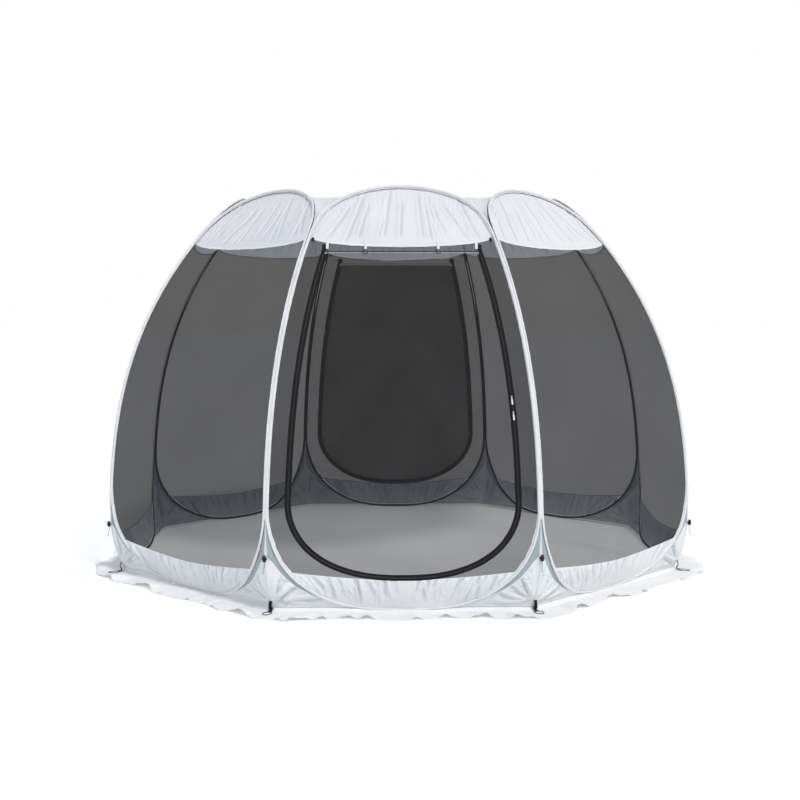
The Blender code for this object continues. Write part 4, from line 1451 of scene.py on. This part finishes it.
# A cheat to match the photo's light inside: with these on, the closed nettings make it too dark.
for obj in bpy.context.scene.objects:
    if obj.name.endswith(("_netting", "_door_leaf")):
        obj.visible_shadow = False
        obj.visible_diffuse = False


# Studio

FLOOR_HALF = 60.0
FLOOR_GLOW = 0.14
SUN_TOWARD = (0.30, -0.55, 0.78)
SUN_STRENGTH = 1.45
SUN_DEGREES = 9.0
SUN_COLOR = (1.0, 0.985, 0.96)
GLOW_PLACE = (0.0, 0.3, 1.05)
GLOW_SIZE = 0.5
GLOW_WATTS = 7.0
CAMERA_PLACE = (-0.121, -8.21, 1.662)
CAMERA_TILT = 85.31
CAMERA_TURN = -0.915
CAMERA_LENS = 56.2


def make_floor():
    skin = Skin("studio_floor", (0.93, 0.93, 0.93), 0.9, Specular_IOR_Level=0.1)
    skin.shader.inputs["Emission Color"].default_value = (1.0, 1.0, 1.0, 1.0)
    skin.shader.inputs["Emission Strength"].default_value = FLOOR_GLOW
    skin.tint(skin.between(skin.noise(2.5, 2.0), 0.4, 0.6, 0.0, 0.5), (0.92, 0.92, 0.925))
    points = [(x * FLOOR_HALF, y * FLOOR_HALF, -0.0006) for x, y in ((-1, -1), (1, -1), (1, 1), (-1, 1))]
    make_mesh("studio_floor", points, [np.array([[0, 1, 2, 3]])], [skin.material])


def make_world():
    """White behind everything, and soft light from all round that is weaker on the left."""
    world = bpy.data.worlds.new("studio")
    world.use_nodes = True
    tree = world.node_tree
    background = tree.nodes["Background"]
    place = tree.nodes.new("ShaderNodeTexCoord")
    parts = tree.nodes.new("ShaderNodeSeparateXYZ")
    spread = tree.nodes.new("ShaderNodeMapRange")
    spread.inputs[1].default_value = -1.0
    soft = tree.nodes.new("ShaderNodeMix")
    seen = tree.nodes.new("ShaderNodeMix")
    path = tree.nodes.new("ShaderNodeLightPath")
    for mix, dark, light in ((soft, (0.50, 0.54, 0.60), (0.68, 0.68, 0.69)), (seen, (1, 1, 1), (1, 1, 1))):
        mix.data_type = "RGBA"
        mix.inputs[6].default_value = (*dark, 1.0)
        mix.inputs[7].default_value = (*light, 1.0)
    tree.links.new(place.outputs["Generated"], parts.inputs[0])
    tree.links.new(parts.outputs[0], spread.inputs[0])
    tree.links.new(spread.outputs[0], soft.inputs[0])
    tree.links.new(path.outputs["Is Camera Ray"], seen.inputs[0])
    tree.links.new(soft.outputs[2], seen.inputs[6])
    tree.links.new(seen.outputs[2], background.inputs["Color"])
    bpy.context.scene.world = world


def make_sun(toward, strength, angle, color):
    light = bpy.data.lights.new("sun", "SUN")
    light.energy = strength
    light.angle = math.radians(angle)
    light.color = color
    lamp = bpy.data.objects.new("sun", light)
    lamp.rotation_euler = (-Vector(toward)).to_track_quat("-Z", "Y").to_euler()
    bpy.context.scene.collection.objects.link(lamp)


def make_lamp(place, size, strength):
    """A stand-in for the light that the silver roof lets through."""
    light = bpy.data.lights.new("inner_glow", "POINT")
    light.energy = strength
    light.shadow_soft_size = size
    lamp = bpy.data.objects.new("inner_glow", light)
    lamp.location = place
    bpy.context.scene.collection.objects.link(lamp)


def make_camera():
    lens = bpy.data.cameras.new("camera")
    lens.lens = CAMERA_LENS
    lens.sensor_width = 36.0
    lens.clip_end = 200.0
    camera = bpy.data.objects.new("camera", lens)
    camera.location = CAMERA_PLACE
    camera.rotation_euler = (math.radians(CAMERA_TILT), 0.0, math.radians(CAMERA_TURN))
    bpy.context.scene.collection.objects.link(camera)
    bpy.context.scene.camera = camera


make_floor()
make_world()
make_sun(SUN_TOWARD, SUN_STRENGTH, SUN_DEGREES, SUN_COLOR)
make_lamp(GLOW_PLACE, GLOW_SIZE, GLOW_WATTS)
make_camera()
bpy.context.scene.view_settings.view_transform = "Standard"
